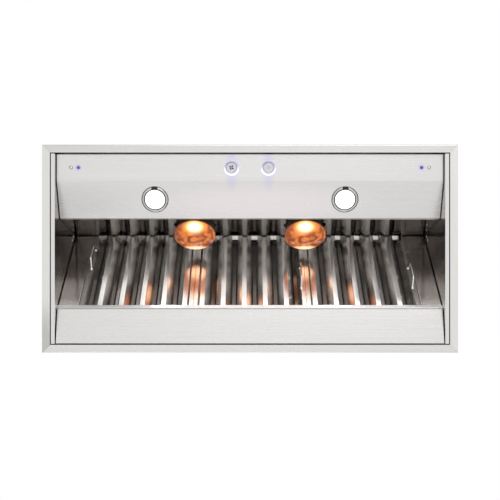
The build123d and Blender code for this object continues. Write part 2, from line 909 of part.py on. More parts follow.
with BuildPart() as blower_motor:
    with BuildSketch(blower_plane(motor_end_x)):
        Circle(motor_radius)
    extrude(amount=motor_length)
    fillet(blower_motor.edges().filter_by(GeomType.CIRCLE), radius=6)
    with BuildSketch(Plane.XY.offset(blower_z + motor_radius - 8)):
        with Locations((motor_end_x + motor_length / 2, blower_y)):
            Rectangle(40, 30)
    extrude(amount=skin_top_z + sheet - 0.2 - blower_z - motor_radius + 8)
    with BuildSketch(blower_plane(motor_face_x)):
        Circle(shaft_radius + spindle_clearance)
    extrude(amount=-24, mode=Mode.SUBTRACT)
write(blower_motor, "blower_motor")

# Duct collar on the top plate, with two flaps, each hinged on a pin beside the divider across the middle
collar_inner_radius = collar_radius - sheet
collar_foot = deck_z + 0.1
stop_size = (6, 8)
damper_pin_play = 0.02
pin_places = [(-damper_pin_y, damper_z), (damper_pin_y, damper_z)]

with BuildPart() as outlet_collar:
    with BuildSketch(Plane.XY.offset(collar_foot)):
        Circle(collar_flange_radius)
        Circle(collar_inner_radius, mode=Mode.SUBTRACT)
    extrude(amount=sheet)
    with BuildSketch(Plane.XY.offset(collar_foot)):
        Circle(collar_radius)
        Circle(collar_inner_radius, mode=Mode.SUBTRACT)
    extrude(amount=collar_height)
    with BuildSketch(Plane.XY.offset(damper_z - flap_sheet - sheet - 0.4)):
        with PolarLocations(collar_inner_radius - stop_size[0] / 2 + 0.6, 6, start_angle=30):
            Rectangle(*stop_size)
    extrude(amount=sheet)
    with BuildSketch(Plane.XY.offset(damper_z - divider_height / 2)):
        Rectangle(2 * collar_inner_radius + sheet, sheet)
    extrude(amount=divider_height)
    with BuildSketch(Plane.YZ.offset(-collar_radius)):
        with Locations(*pin_places):
            Circle(damper_pin_radius)
    extrude(amount=2 * collar_radius, mode=Mode.SUBTRACT)
write(outlet_collar, "outlet_collar")

with BuildPart() as damper_pins:
    with BuildSketch(Plane.YZ.offset(half_sheet - collar_radius)):
        with Locations(*pin_places):
            Circle(damper_pin_radius - damper_pin_play)
    extrude(amount=2 * collar_radius - sheet)
write(damper_pins, "damper_pins")

barrel_length = 60
barrel_places = (-70, 0, 70)


def damper_flap(side):
    """A part of a disc whose straight edge is rolled into three barrels around its pin."""
    with BuildPart() as flap:
        with BuildSketch(Plane.XY.offset(damper_z - flap_sheet / 2)):
            Circle(flap_radius)
            with Locations((0, side * (damper_pin_y - flap_radius))):
                Rectangle(2 * flap_radius, 2 * flap_radius, mode=Mode.SUBTRACT)
        extrude(amount=flap_sheet)
        with BuildSketch(Plane.YZ.offset(-flap_radius)):
            with Locations((side * damper_pin_y, damper_z)):
                Circle(barrel_radius)
        extrude(amount=2 * flap_radius, mode=Mode.SUBTRACT)
        for x in barrel_places:
            with BuildSketch(Plane.YZ.offset(x - barrel_length / 2)):
                with Locations((side * damper_pin_y, damper_z)):
                    Circle(barrel_radius)
            extrude(amount=barrel_length)
        with BuildSketch(Plane.YZ.offset(-flap_radius)):
            with Locations((side * damper_pin_y, damper_z)):
                Circle(damper_pin_radius + spindle_clearance)
        extrude(amount=2 * flap_radius, mode=Mode.SUBTRACT)
    return flap


write(damper_flap(-1), "front_damper_flap")
write(damper_flap(1), "rear_damper_flap")


# Duct covers: two square tubes, the upper one sliding down inside the lower one
def square_tube(width, depth, bottom, height):
    """A seamed sheet tube with small corner radii."""
    with BuildPart() as tube:
        with BuildSketch(Plane.XY.offset(bottom)):
            RectangleRounded(width, depth, 3)
            RectangleRounded(width - 2 * sheet, depth - 2 * sheet, 3 - sheet, mode=Mode.SUBTRACT)
        extrude(amount=height)
    return tube


write(square_tube(cover_width, cover_depth, collar_foot, lower_cover_height), "lower_duct_cover")

upper_width = cover_width - 2 * sheet - 2 * cover_play
upper_depth = cover_depth - 2 * sheet - 2 * cover_play
upper_cover_top = duct_cover_top - 1.8
upper_cover_foot = deck_z + lower_cover_height - cover_overlap
cover_screw_z = upper_cover_top - 12
cover_screw_y = 100
slot_width = 6.4

upper_tube = square_tube(upper_width, upper_depth, upper_cover_foot, upper_cover_top - upper_cover_foot)

with BuildPart() as upper_duct_cover:
    add(upper_tube.part)
    with BuildSketch(Plane.YZ.offset(-upper_width)):
        for y in (-cover_screw_y, cover_screw_y):
            with Locations((y, cover_screw_z)):
                Circle(slot_width / 2)
            with Locations((y, cover_screw_z + 10)):
                Rectangle(slot_width, 20)
    extrude(amount=2 * upper_width, mode=Mode.SUBTRACT)
write(upper_duct_cover, "upper_duct_cover")

# Ceiling bracket: a flanged ring bolted to the ceiling, its skirt holding the upper cover's screws
skirt_width = upper_width - 2 * sheet - 1.2
skirt_depth = upper_depth - 2 * sheet - 1.2
skirt_height = 32
bracket_sheet = 1.6
bracket_window = (296, 282)
screw_places = [(-cover_screw_y, cover_screw_z), (cover_screw_y, cover_screw_z)]
cover_head_radius = 5.5
cover_shank_radius = 2.05
ceiling_bolt_x = 166
ceiling_bolt_y = 85
ceiling_hole_radius = 4

with BuildPart() as ceiling_bracket:
    with BuildSketch(Plane.XY.offset(duct_cover_top - bracket_sheet)):
        RectangleRounded(skirt_width, skirt_depth, 3)
        Rectangle(*bracket_window, mode=Mode.SUBTRACT)
        with Locations((-ceiling_bolt_x, -ceiling_bolt_y), (-ceiling_bolt_x, ceiling_bolt_y),
                       (ceiling_bolt_x, -ceiling_bolt_y), (ceiling_bolt_x, ceiling_bolt_y)):
            Circle(ceiling_hole_radius, mode=Mode.SUBTRACT)
        with Locations(*rod_places):
            Circle(rod_hole_radius, mode=Mode.SUBTRACT)
    extrude(amount=bracket_sheet)
    with BuildSketch(Plane.XY.offset(duct_cover_top - skirt_height)):
        RectangleRounded(skirt_width, skirt_depth, 3)
        RectangleRounded(skirt_width - 2 * bracket_sheet, skirt_depth - 2 * bracket_sheet, 1.4,
                         mode=Mode.SUBTRACT)
    extrude(amount=skirt_height)
    with BuildSketch(Plane.YZ.offset(-skirt_width)):
        with Locations(*screw_places):
            Circle(cover_shank_radius + spindle_clearance)
    extrude(amount=2 * skirt_width, mode=Mode.SUBTRACT)
write(ceiling_bracket, "ceiling_bracket")

with BuildPart() as cover_screws:
    for end in (-1, 1):
        head_plane = Plane.YZ.offset(end * (upper_width / 2 + 0.3))
        with BuildSketch(head_plane):
            with Locations(*screw_places):
                Circle(cover_head_radius)
        extrude(amount=end * 2.5)
        with BuildSketch(head_plane):
            with Locations(*screw_places):
                Circle(cover_shank_radius)
        extrude(amount=-end * 9)
write(cover_screws, "cover_screws")

# Hanger rods from the ceiling bracket to the top plate, with a nut each side of both
rod_foot = skin_top_z - 12
nut_height = 8
nut_radius = 9
nut_levels = [deck_z - sheet - 0.1 - nut_height, deck_z + 0.1,
              duct_cover_top - bracket_sheet - 0.1 - nut_height]

with BuildPart() as hanger_rods:
    with BuildSketch(Plane.XY.offset(rod_foot)):
        with Locations(*rod_places):
            Circle(rod_radius)
    extrude(amount=duct_cover_top - rod_foot)
    for level in nut_levels:
        with BuildSketch(Plane.XY.offset(level)):
            with Locations(*rod_places):
                RegularPolygon(nut_radius, 6)
        extrude(amount=nut_height)
write(hanger_rods, "hanger_rods")
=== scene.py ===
import json
import math

import bmesh
import bpy
from mathutils import Matrix, Vector

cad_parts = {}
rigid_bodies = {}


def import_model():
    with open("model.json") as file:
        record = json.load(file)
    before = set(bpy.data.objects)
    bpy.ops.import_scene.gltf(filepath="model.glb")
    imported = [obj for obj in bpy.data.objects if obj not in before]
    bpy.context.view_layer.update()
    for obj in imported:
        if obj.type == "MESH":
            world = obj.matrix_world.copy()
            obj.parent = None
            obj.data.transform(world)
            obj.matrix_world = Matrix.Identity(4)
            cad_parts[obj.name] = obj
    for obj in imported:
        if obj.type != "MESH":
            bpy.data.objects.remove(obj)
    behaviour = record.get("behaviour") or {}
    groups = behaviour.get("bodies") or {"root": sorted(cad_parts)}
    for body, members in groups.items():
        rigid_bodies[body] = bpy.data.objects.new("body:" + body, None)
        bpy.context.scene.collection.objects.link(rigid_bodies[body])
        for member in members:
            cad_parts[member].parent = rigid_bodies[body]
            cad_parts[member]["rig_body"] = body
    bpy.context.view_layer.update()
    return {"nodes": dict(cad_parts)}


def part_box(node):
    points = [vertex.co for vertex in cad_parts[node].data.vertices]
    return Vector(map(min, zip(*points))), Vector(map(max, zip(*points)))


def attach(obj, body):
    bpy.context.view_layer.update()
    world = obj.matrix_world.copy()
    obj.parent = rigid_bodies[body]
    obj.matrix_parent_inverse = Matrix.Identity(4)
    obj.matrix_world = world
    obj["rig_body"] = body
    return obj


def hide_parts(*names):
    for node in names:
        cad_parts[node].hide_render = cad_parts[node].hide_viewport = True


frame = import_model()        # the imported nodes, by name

nodes = frame["nodes"]
mm = 0.001
print("frame loaded:", len(nodes), "nodes")


def keepMesh(name, mesh, sharpAngle):
    # links a mesh as a piece, smooth up to an angle
    mesh.shade_smooth()
    mesh.set_sharp_from_angle(angle=math.radians(sharpAngle))
    piece = bpy.data.objects.new(name, mesh)
    bpy.context.scene.collection.objects.link(piece)
    return piece


def finishMesh(name, build, finish=None, sharpAngle=35):
    # turns a bmesh into a piece with its material
    mesh = bpy.data.meshes.new(name)
    build.to_mesh(mesh)
    build.free()
    if finish:
        mesh.materials.append(finish)
    return keepMesh(name, mesh, sharpAngle)


def solidPiece(name, build, finish, sharpAngle=35):
    # a closed bmesh, its faces turned outwards first
    bmesh.ops.recalc_face_normals(build, faces=build.faces)
    return finishMesh(name, build, finish, sharpAngle)


def axisPlace(origin, along, side=(1, 0, 0)):
    # matrix that puts local Z on an axis and local X on a side direction
    z = Vector(along).normalized()
    x = Vector(side) - Vector(side).dot(z) * z
    x.normalize()
    y = z.cross(x)
    place = Matrix((x, y, z)).transposed().to_4x4()
    place.translation = Vector(origin)
    return place


def turned(build, profile, place, segments=64, ripple=None, closed=False):
    # lathe: profile is (radius, height) in mm; ripple(angle, index) adds to the radius
    rings = []
    for index, (radius, height) in enumerate(profile):
        if radius < 1e-6:
            rings.append([build.verts.new(place @ Vector((0, 0, height * mm)))])
            continue
        ring = []
        for k in range(segments):
            angle = 2 * math.pi * k / segments
            r = radius + (ripple(angle, index) if ripple else 0)
            point = Vector((r * math.cos(angle), r * math.sin(angle), height)) * mm
            ring.append(build.verts.new(place @ point))
        rings.append(ring)
    pairs = list(zip(rings, rings[1:]))
    if closed:
        pairs.append((rings[-1], rings[0]))
    for low, high in pairs:
        for k in range(segments):
            j = (k + 1) % segments
            if len(low) == 1 and len(high) == 1:
                continue
            if len(low) == 1:
                corners = (low[0], high[j], high[k])
            elif len(high) == 1:
                corners = (low[k], low[j], high[0])
            else:
                corners = (low[k], low[j], high[j], high[k])
            build.faces.new(corners)


def turnedPiece(name, profile, place, finish, segments=64, ripple=None, closed=False, sharpAngle=35):
    build = bmesh.new()
    turned(build, profile, place, segments, ripple, closed)
    return solidPiece(name, build, finish, sharpAngle)


def smoothLine(points, steps):
    # Catmull-Rom line through a few chosen points
    padded = [points[0]] + list(points) + [points[-1]]
    line = []
    for k in range(1, len(padded) - 2):
        a, b, c, d = (Vector(p) for p in padded[k - 1:k + 3])
        for n in range(steps):
            t = n / steps
            line.append(0.5 * (2 * b + (c - a) * t + (2 * a - 5 * b + 4 * c - d) * t ** 2
                               + (3 * b - a - 3 * c + d) * t ** 3))
    line.append(Vector(points[-1]))
    return [tuple(p) for p in line]


def roundedLine(points, radius, steps=5):
    # polyline with its inner corners rounded by short curves
    line = [Vector(points[0])]
    for before, corner, after in zip(points, points[1:], points[2:]):
        corner = Vector(corner)
        toBefore = (Vector(before) - corner).normalized()
        toAfter = (Vector(after) - corner).normalized()
        reach = radius / math.tan(toBefore.angle(toAfter) / 2)
        start = corner + toBefore * reach
        end = corner + toAfter * reach
        for n in range(steps + 1):
            t = n / steps
            line.append((1 - t) ** 2 * start + 2 * t * (1 - t) * corner + t ** 2 * end)
    line.append(Vector(points[-1]))
    return line


def midOf(box, axis):
    # halfway between a box's two faces on one axis
    return (box[0][axis] + box[1][axis]) / 2


def replaceNode(piece, node):
    # the piece rides where the node rides and stands for it
    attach(piece, nodes[node]["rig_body"])
    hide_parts(node)


def feed(tree, value, socket):
    # links another node's output to a socket, or sets a plain value on it
    if isinstance(value, bpy.types.NodeSocket):
        tree.links.new(value, socket)
    elif socket.type == "RGBA" and len(value) == 3:
        socket.default_value = (*value, 1)
    else:
        socket.default_value = value


def feedAll(tree, node, values):
    for key, value in values.items():
        feed(tree, value, node.inputs[key])


def addNode(tree, kind, values=None, **settings):
    node = tree.nodes.new(kind)
    for key, value in settings.items():
        setattr(node, key, value)
    feedAll(tree, node, values or {})
    return node


def mathNode(tree, operation, first, second):
    return addNode(tree, "ShaderNodeMath", {0: first, 1: second}, operation=operation).outputs[0]


def vectorMath(tree, operation, first, second=(0, 0, 0)):
    # a vector, or a number for a length or a dot product
    node = addNode(tree, "ShaderNodeVectorMath", {0: first, 1: second}, operation=operation)
    return node.outputs["Value" if operation in ("LENGTH", "DOT_PRODUCT") else "Vector"]


def mapRange(tree, value, source=(0.0, 1.0), target=(0.0, 1.0), **settings):
    node = addNode(tree, "ShaderNodeMapRange", {"Value": value, "From Min": source[0], "From Max": source[1],
                                                "To Min": target[0], "To Max": target[1]}, **settings)
    return node.outputs[0]


def mixColor(tree, factor, first, second):
    return addNode(tree, "ShaderNodeMix", {0: factor, 6: first, 7: second}, data_type="RGBA").outputs[2]


def noise(tree, vector, **values):
    return addNode(tree, "ShaderNodeTexNoise", {"Vector": vector, **values}).outputs["Fac"]


def axisOf(tree, vector, axis):
    return addNode(tree, "ShaderNodeSeparateXYZ", {0: vector}).outputs[axis]


# shader groups give values, masks and heights only
def newGroup(name, inputs, outputs):
    group = bpy.data.node_groups.new(name, "ShaderNodeTree")
    for label, kind, value in [("Position", "Vector", (0, 0, 0))] + inputs:
        socket = group.interface.new_socket(label, in_out="INPUT", socket_type="NodeSocket" + kind)
        socket.default_value = value
    for label in outputs:
        group.interface.new_socket(label, in_out="OUTPUT", socket_type="NodeSocketFloat")
    return group, group.nodes.new("NodeGroupInput").outputs, group.nodes.new("NodeGroupOutput").inputs


def makeSheetGrain():
    # brushed grain: noise stretched along the brushing direction, fine over coarse
    group, entry, leave = newGroup(
        "sheetGrain", [("Stretch", "Vector", (1, 1, 1)), ("Coarse Share", "Float", 0.4)], ["Tone", "Height"])
    stretched = vectorMath(group, "MULTIPLY", entry["Position"], entry["Stretch"])
    fine = noise(group, stretched, Scale=1.0, Detail=3.0, Roughness=0.65)
    coarse = noise(group, stretched, Scale=0.11, Detail=2.0, Roughness=0.5)
    mix = addNode(group, "ShaderNodeMix", {0: entry["Coarse Share"], 2: fine, 3: coarse}, data_type="FLOAT")
    feed(group, mapRange(group, mix.outputs[0], (0.3, 0.7)), leave["Tone"])
    feed(group, fine, leave["Height"])
    return group


def makeHandling():
    # soft smudges left by hands and wiping
    group, entry, leave = newGroup("handling", [("Size", "Float", 6.0), ("Seed", "Float", 0.0)], ["Smudge"])
    cloud = addNode(group, "ShaderNodeTexNoise", {
        "Vector": entry["Position"], "Scale": entry["Size"], "W": entry["Seed"], "Detail": 4.0,
        "Roughness": 0.55, "Distortion": 0.6}, noise_dimensions="4D")
    smudge = mapRange(group, cloud.outputs["Fac"], (0.48, 0.78), interpolation_type="SMOOTHSTEP")
    feed(group, smudge, leave["Smudge"])
    return group


def makeSettledDust():
    # dust that settles on faces that look up
    group, entry, leave = newGroup("settledDust", [("Amount", "Float", 0.3)], ["Dust"])
    normal = addNode(group, "ShaderNodeNewGeometry").outputs["Normal"]
    upward = mapRange(group, axisOf(group, normal, "Z"), (0.35, 0.95))
    grit = noise(group, entry["Position"], Scale=38.0, Detail=5.0, Roughness=0.7)
    covered = mathNode(group, "MULTIPLY", upward, mapRange(group, grit, (0.35, 0.75)))
    feed(group, mathNode(group, "MULTIPLY", covered, entry["Amount"]), leave["Dust"])
    return group


def makeSoftSpot():
    # soft patch: 1 inside, fading to 0 at its half size
    group, entry, leave = newGroup("glowSpot", [("Centre", "Vector", (0, 0, 0)),
                                                ("Half Size", "Vector", (0.02, 0.02, 1.0))], ["Mask"])
    offset = vectorMath(group, "SUBTRACT", entry["Position"], entry["Centre"])
    distance = vectorMath(group, "LENGTH", vectorMath(group, "DIVIDE", offset, entry["Half Size"]))
    fade = mapRange(group, distance, (0.25, 1.0), (1.0, 0.0), interpolation_type="SMOOTHSTEP")
    feed(group, fade, leave["Mask"])
    return group


sheetGrain = makeSheetGrain()
handling = makeHandling()
settledDust = makeSettledDust()
softSpot = makeSoftSpot()


def placeGroup(tree, group, position, values):
    node = tree.nodes.new("ShaderNodeGroup")
    node.node_tree = group
    feedAll(tree, node, {"Position": position, **values})
    return node.outputs


def addSpot(tree, position, centre, halfSize):
    return placeGroup(tree, softSpot, position, {"Centre": centre, "Half Size": halfSize})["Mask"]


def addBump(tree, height, strength, depth=0.0002):
    bump = addNode(tree, "ShaderNodeBump", {"Strength": strength, "Distance": depth, "Height": height})
    return bump.outputs[0]


def newMaterial(name):
    material = bpy.data.materials.new(name)
    material.use_nodes = True
    tree = material.node_tree
    position = tree.nodes.new("ShaderNodeTexCoord").outputs["Object"]
    return material, tree, tree.nodes["Principled BSDF"], position


# the plane of the filter bank: a point on it, the way down it and the way up from it
slope = {"top": Vector((0, -0.0435, 0.272)), "along": Vector((0, 0.6716, -0.7409)),
         "up": Vector((0, 0.7409, 0.6716))}
wearAndShade = {"dust": (0.46, 0.44, 0.41), "dustRoughness": 0.5, "channelShade": (0.07, 0.058, 0.05),
        "channelShadeDepth": (0.0045, 0.0145), "highTone": (0.3, 0.28, 0.265), "brightStrip": (0.74, 0.735, 0.73)}


def metalTone(tree, position, toned, look):
    # what lies over a metal's own tone
    for centre, halfSize, tint in look.get("spill", ()):     # light spilt on it, or a shaded edge
        toned = mixColor(tree, addSpot(tree, position, centre, halfSize), toned, tint)
    if "channelShade" in look:       # painted shade: a face is painted darker the deeper it sits above the slope, standing in for shade in the channels
        shallow = slope["up"].dot(slope["top"])
        depth = vectorMath(tree, "DOT_PRODUCT", position, tuple(slope["up"]))
        channelShade = mapRange(tree, depth, [shallow + d for d in wearAndShade["channelShadeDepth"]], (0.0, look["channelShade"]))
        toned = mixColor(tree, channelShade, toned, wearAndShade["channelShade"])
    if "rise" in look:       # the steel is given a darker tone the higher it sits
        low, high, share = look["rise"]
        highShare = mapRange(tree, axisOf(tree, position, "Z"), (low, high), (0.0, share))
        toned = mixColor(tree, highShare, toned, wearAndShade["highTone"])
    if "brightBelow" in look:      # the strip along the rim keeps its bright brushed face
        below = mathNode(tree, "LESS_THAN", axisOf(tree, position, "Z"), look["brightBelow"])
        toned = mixColor(tree, below, toned, wearAndShade["brightStrip"])
    return toned


def metalFinish(name, look):
    # sheet and turned metals: grain tone, smudged roughness, dust on top, fine bump
    material, tree, shader, position = newMaterial(name)
    grain = placeGroup(tree, sheetGrain, position,
                       {"Stretch": look["stretch"], "Coarse Share": look.get("coarse", 0.4)})
    smudge = placeGroup(tree, handling, position,
                        {"Size": look.get("smudgeSize", 6), "Seed": look.get("seed", 0)})["Smudge"]
    dust = placeGroup(tree, settledDust, position, {"Amount": look.get("dust", 0.25)})["Dust"]
    toned = metalTone(tree, position, mixColor(tree, grain["Tone"], look["dark"], look["light"]), look)
    smudged = mathNode(tree, "ADD", mapRange(tree, grain["Tone"], target=look["roughness"]),
                       mathNode(tree, "MULTIPLY", smudge, look.get("smudge", 0.08)))
    dustRoughness = mathNode(tree, "MULTIPLY", dust, wearAndShade["dustRoughness"])
    feedAll(tree, shader, {
        "Base Color": mixColor(tree, dust, toned, wearAndShade["dust"]),
        "Roughness": mathNode(tree, "ADD", smudged, dustRoughness),
        "Metallic": mathNode(tree, "SUBTRACT", look.get("metallic", 1.0), dust),
        "Normal": addBump(tree, grain["Height"], look["bump"]),
        "Anisotropic": look.get("anisotropic", 0.0)})
    if "tangent" in look:
        tangent = addNode(tree, "ShaderNodeCombineXYZ", dict(zip("XYZ", look["tangent"])))
        feed(tree, tangent.outputs[0], shader.inputs["Tangent"])
    return material


def plainFinish(name, look):
    # plastics, enamel and porcelain: mottled colour, uneven gloss, moulded skin
    material, tree, shader, position = newMaterial(name)
    smudge = placeGroup(tree, handling, position, {"Size": 30.0, "Seed": 3.0})["Smudge"]
    dust = placeGroup(tree, settledDust, position, {"Amount": look.get("dust", 0.2)})["Dust"]
    toned = mixColor(tree, smudge, look["color"], look["worn"])
    feedAll(tree, shader, {
        "Base Color": mixColor(tree, dust, toned, wearAndShade["dust"]),
        "Roughness": mapRange(tree, smudge, target=look["roughness"]),
        "Normal": addBump(tree, noise(tree, position, Scale=900.0, Detail=2.0), look["bump"]),
        "Coat Weight": look.get("coat", 0.0)})
    return material


def litFinish(name, look):
    # lit plastics and glass: the glow varies a little over the face, or is painted to grow across it, dim on
    # one side and bright on the other
    material, tree, shader, position = newMaterial(name)
    smudge = placeGroup(tree, handling, position,
                        {"Size": look.get("size", 60.0), "Seed": look.get("seed", 5.0)})["Smudge"]
    lit = smudge
    if "glowPaintedAcross" in look:
        lit = mapRange(tree, axisOf(tree, position, "Y"), look["glowPaintedAcross"], interpolation_type="SMOOTHSTEP")
    cells = addNode(tree, "ShaderNodeTexVoronoi", {"Vector": position, "Scale": look.get("cells", 500.0)})
    feedAll(tree, shader, {
        "Emission Color": mixColor(tree, lit, look["glow"], look.get("glowEdge", look["edge"])),
        "Base Color": mixColor(tree, smudge, look["color"], look["edge"]),
        "Roughness": mapRange(tree, smudge, target=look["roughness"]),
        "Normal": addBump(tree, cells.outputs["Distance"], 0.2, 0.0003),
        "Emission Strength": look["strength"]})
    return material


# grain runs along one axis: small stretch along it, large across
alongX = (3.0, 1400.0, 1400.0)
alongY = (1400.0, 3.0, 1400.0)
alongZ = (1400.0, 1400.0, 3.0)
alongSlope = (1400.0, 6.0, 6.0)
everyWay = (420.0, 420.0, 420.0)
spangled = (160.0, 160.0, 160.0)

ends = (("left", -1), ("right", 1))
steel = dict(dark=(0.715, 0.705, 0.7), light=(0.77, 0.76, 0.754), roughness=(0.2, 0.3), bump=0.07,
             smudge=0.06)
knobCentres = {side: sum((Vector(p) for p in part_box(side + "_knob_bezel")), Vector()) / 2
               for side in ("fan", "light")}
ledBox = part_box("indicator_lenses")
ledRadius = 0.0048
ledCentres = [Vector((x, midOf(ledBox, 1), ledBox[0][2]))
              for x in (ledBox[0][0] + ledRadius, ledBox[1][0] - ledRadius)]

# each spill: where it is, how far it reaches and its tint; the lights' own face first,
# painted shade duller at its left end and painted light brighter between the two lamps
panelSpill = [((-0.56, -0.135, 0.0), (0.24, 0.08, 1.0), (0.68, 0.67, 0.662)),
              ((0.03, -0.135, 0.0), (0.42, 0.075, 1.0), (0.84, 0.79, 0.79))]
# painted reflection of each lit knob ring: a tall blue streak along the brushed grain and a round blue glow
for knobCentre in knobCentres.values():
    panelSpill.append((tuple(knobCentre), (0.024, 0.085, 1.0), (0.66, 0.65, 0.77)))
    panelSpill.append((tuple(knobCentre), (0.033, 0.033, 1.0), (0.78, 0.77, 0.95)))
# painted blue glow of each indicator light on the steel around it
for ledCentre in ledCentres:
    panelSpill.append((tuple(ledCentre), (0.012, 0.012, 1.0), (0.5, 0.46, 0.95)))
frontRimShade = [((0.0, -0.3, 0.0), (3.0, 0.03, 0.02), (0.69, 0.68, 0.672))]
rearCornerShade = [((-0.6, 0.29, 0.0), (0.04, 0.16, 0.06), (0.55, 0.55, 0.53))]
# painted shade: a dark line down each side edge of the lamp panel, where it meets the side wall
lampPanelSeamShade = [((end * 0.5722, -0.06, 0.16), (0.0034, 1.0, 1.0), (0.025, 0.022, 0.02))
                  for side, end in ends]
frameSideShade = [((end * 0.5055, 0.05, 0.17), (0.018, 1.0, 1.0), (0.36, 0.34, 0.33))
                  for side, end in ends]
finishes = {
    "steelX": metalFinish("brushedSteelAlong", dict(steel, stretch=alongX, seed=1, spill=frontRimShade)),
    "steelPanel": metalFinish("brushedControlPanel", dict(
        steel, stretch=alongX, seed=2, anisotropic=0.5, tangent=(1, 0, 0), spill=panelSpill)),
    "steelY": metalFinish("brushedSteelAcross", dict(
        steel, dark=(0.745, 0.732, 0.712), light=(0.805, 0.79, 0.77), stretch=alongY, seed=3,
        spill=rearCornerShade)),
    "steelZ": metalFinish("brushedSteelUpright", dict(steel, stretch=alongZ, seed=4)),
    "tray": metalFinish("trayBrushed", dict(
        steel, dark=(0.702, 0.69, 0.684), light=(0.756, 0.744, 0.737), stretch=alongX, seed=6,
        roughness=(0.22, 0.34))),
    "liner": metalFinish("satinLiner", dict(
        dark=(0.375, 0.355, 0.34), light=(0.435, 0.415, 0.4), roughness=(0.1, 0.18), bump=0.08,
        stretch=alongY, brightBelow=0.004)),
    "polished": metalFinish("polishedPanel", dict(
        dark=(0.5, 0.475, 0.455), light=(0.56, 0.535, 0.515), roughness=(0.03, 0.07), bump=0.03,
        stretch=alongX, smudge=0.05, seed=9, spill=lampPanelSeamShade)),
    "baffle": metalFinish("baffleSteel", dict(
        dark=(0.88, 0.86, 0.84), light=(0.96, 0.945, 0.93), metallic=0.93, roughness=(0.14, 0.22), bump=0.07,
        stretch=alongSlope, smudge=0.06, smudgeSize=14, seed=12, channelShade=0.9, rise=(0.12, 0.27, 0.46))),
    "frame": metalFinish("filterFrameSteel", dict(
        dark=(0.74, 0.72, 0.7), light=(0.9, 0.88, 0.86), roughness=(0.18, 0.26), bump=0.08,
        stretch=alongSlope, smudgeSize=20, seed=14, spill=frameSideShade)),
    "wire": metalFinish("polishedWire", dict(
        dark=(0.84, 0.84, 0.84), light=(0.94, 0.94, 0.94), roughness=(0.16, 0.26), bump=0.04,
        stretch=everyWay, smudge=0.05)),
    "chrome": metalFinish("brightChrome", dict(
        dark=(0.72, 0.72, 0.72), light=(0.82, 0.82, 0.82), roughness=(0.04, 0.09), bump=0.03,
        stretch=everyWay, smudge=0.06)),
    "trim": metalFinish("satinTrim", dict(
        dark=(0.5, 0.5, 0.5), light=(0.62, 0.62, 0.62), roughness=(0.12, 0.2), bump=0.05, stretch=everyWay,
        seed=8)),
    "knob": metalFinish("knobMetal", dict(
        dark=(0.56, 0.55, 0.6), light=(0.7, 0.68, 0.74), roughness=(0.16, 0.26), bump=0.08,
        stretch=everyWay)),
    "zinc": metalFinish("zincPlate", dict(
        dark=(0.5, 0.51, 0.52), light=(0.68, 0.69, 0.7), roughness=(0.28, 0.42), bump=0.12,
        stretch=everyWay, coarse=0.7, dust=0.35)),
    "galvanised": metalFinish("galvanisedSheet", dict(
        dark=(0.42, 0.44, 0.46), light=(0.66, 0.68, 0.7), roughness=(0.26, 0.44), bump=0.1,
        stretch=spangled, coarse=0.85, dust=0.4)),
    "alloy": metalFinish("pressedAlloy", dict(
        dark=(0.56, 0.57, 0.58), light=(0.72, 0.73, 0.74), roughness=(0.3, 0.42), bump=0.1,
        stretch=everyWay)),
    "brass": metalFinish("lampBaseMetal", dict(
        dark=(0.62, 0.5, 0.28), light=(0.8, 0.68, 0.42), roughness=(0.2, 0.34), bump=0.08,
        stretch=everyWay)),
    "reflector": metalFinish("lampReflector", dict(
        dark=(0.62, 0.4, 0.2), light=(0.95, 0.74, 0.48), roughness=(0.12, 0.3), bump=0.6,
        stretch=(120.0, 120.0, 120.0), coarse=0.6, dust=0.0)),
    "porcelain": plainFinish("porcelain", dict(
        color=(0.82, 0.8, 0.75), worn=(0.7, 0.66, 0.6), roughness=(0.12, 0.3), bump=0.05, coat=0.4)),
    "switch": plainFinish("switchPlastic", dict(
        color=(0.03, 0.03, 0.032), worn=(0.06, 0.06, 0.06), roughness=(0.4, 0.6), bump=0.2)),
    "motor": plainFinish("motorEnamel", dict(
        color=(0.035, 0.036, 0.04), worn=(0.08, 0.08, 0.085), roughness=(0.3, 0.5), bump=0.25, dust=0.5)),
    "icon": plainFinish("iconInk", dict(
        color=(0.012, 0.012, 0.014), worn=(0.03, 0.03, 0.035), roughness=(0.35, 0.5), bump=0.05)),
    "iconGrey": plainFinish("iconInkGrey", dict(
        color=(0.26, 0.26, 0.27), worn=(0.33, 0.33, 0.34), roughness=(0.35, 0.5), bump=0.05)),
    # near-black rings standing in for shadow gaps round the task-light trims and the screw heads: painted
    # shade
    "shadeRubber": plainFinish("shadeSealRubber", dict(
        color=(0.01, 0.01, 0.01), worn=(0.025, 0.025, 0.025), roughness=(0.55, 0.75), bump=0.2)),
    "lens": litFinish("frostedLens", dict(
        color=(0.95, 0.95, 0.93), edge=(0.93, 0.93, 0.9), glow=(1.0, 1.0, 0.985), strength=1.3,
        roughness=(0.3, 0.45))),
    "bezel": litFinish("litRing", dict(
        color=(0.52, 0.51, 0.62), edge=(0.44, 0.43, 0.55), glow=(0.12, 0.12, 0.17), glowEdge=(1.0, 1.0, 1.1),
        strength=0.8, roughness=(0.2, 0.32), size=70.0, seed=21.0,
        # painted highlight: the ring glows bright on its side towards the back of the hood and dim on its
        # front side
        glowPaintedAcross=(knobCentres["fan"].y - 0.012, knobCentres["fan"].y + 0.014))),
    "indicator": litFinish("indicatorBlue", dict(
        color=(0.05, 0.04, 0.12), edge=(0.07, 0.05, 0.2), glow=(0.12, 0.08, 0.3), strength=0.5,
        roughness=(0.1, 0.2), cells=900.0)),
    "burner": litFinish("lampBurner", dict(
        color=(1.0, 0.9, 0.7), edge=(1.0, 0.7, 0.36), glow=(1.0, 0.82, 0.5), strength=4.0,
        roughness=(0.3, 0.4))),
}
print("finishes made:", len(finishes))

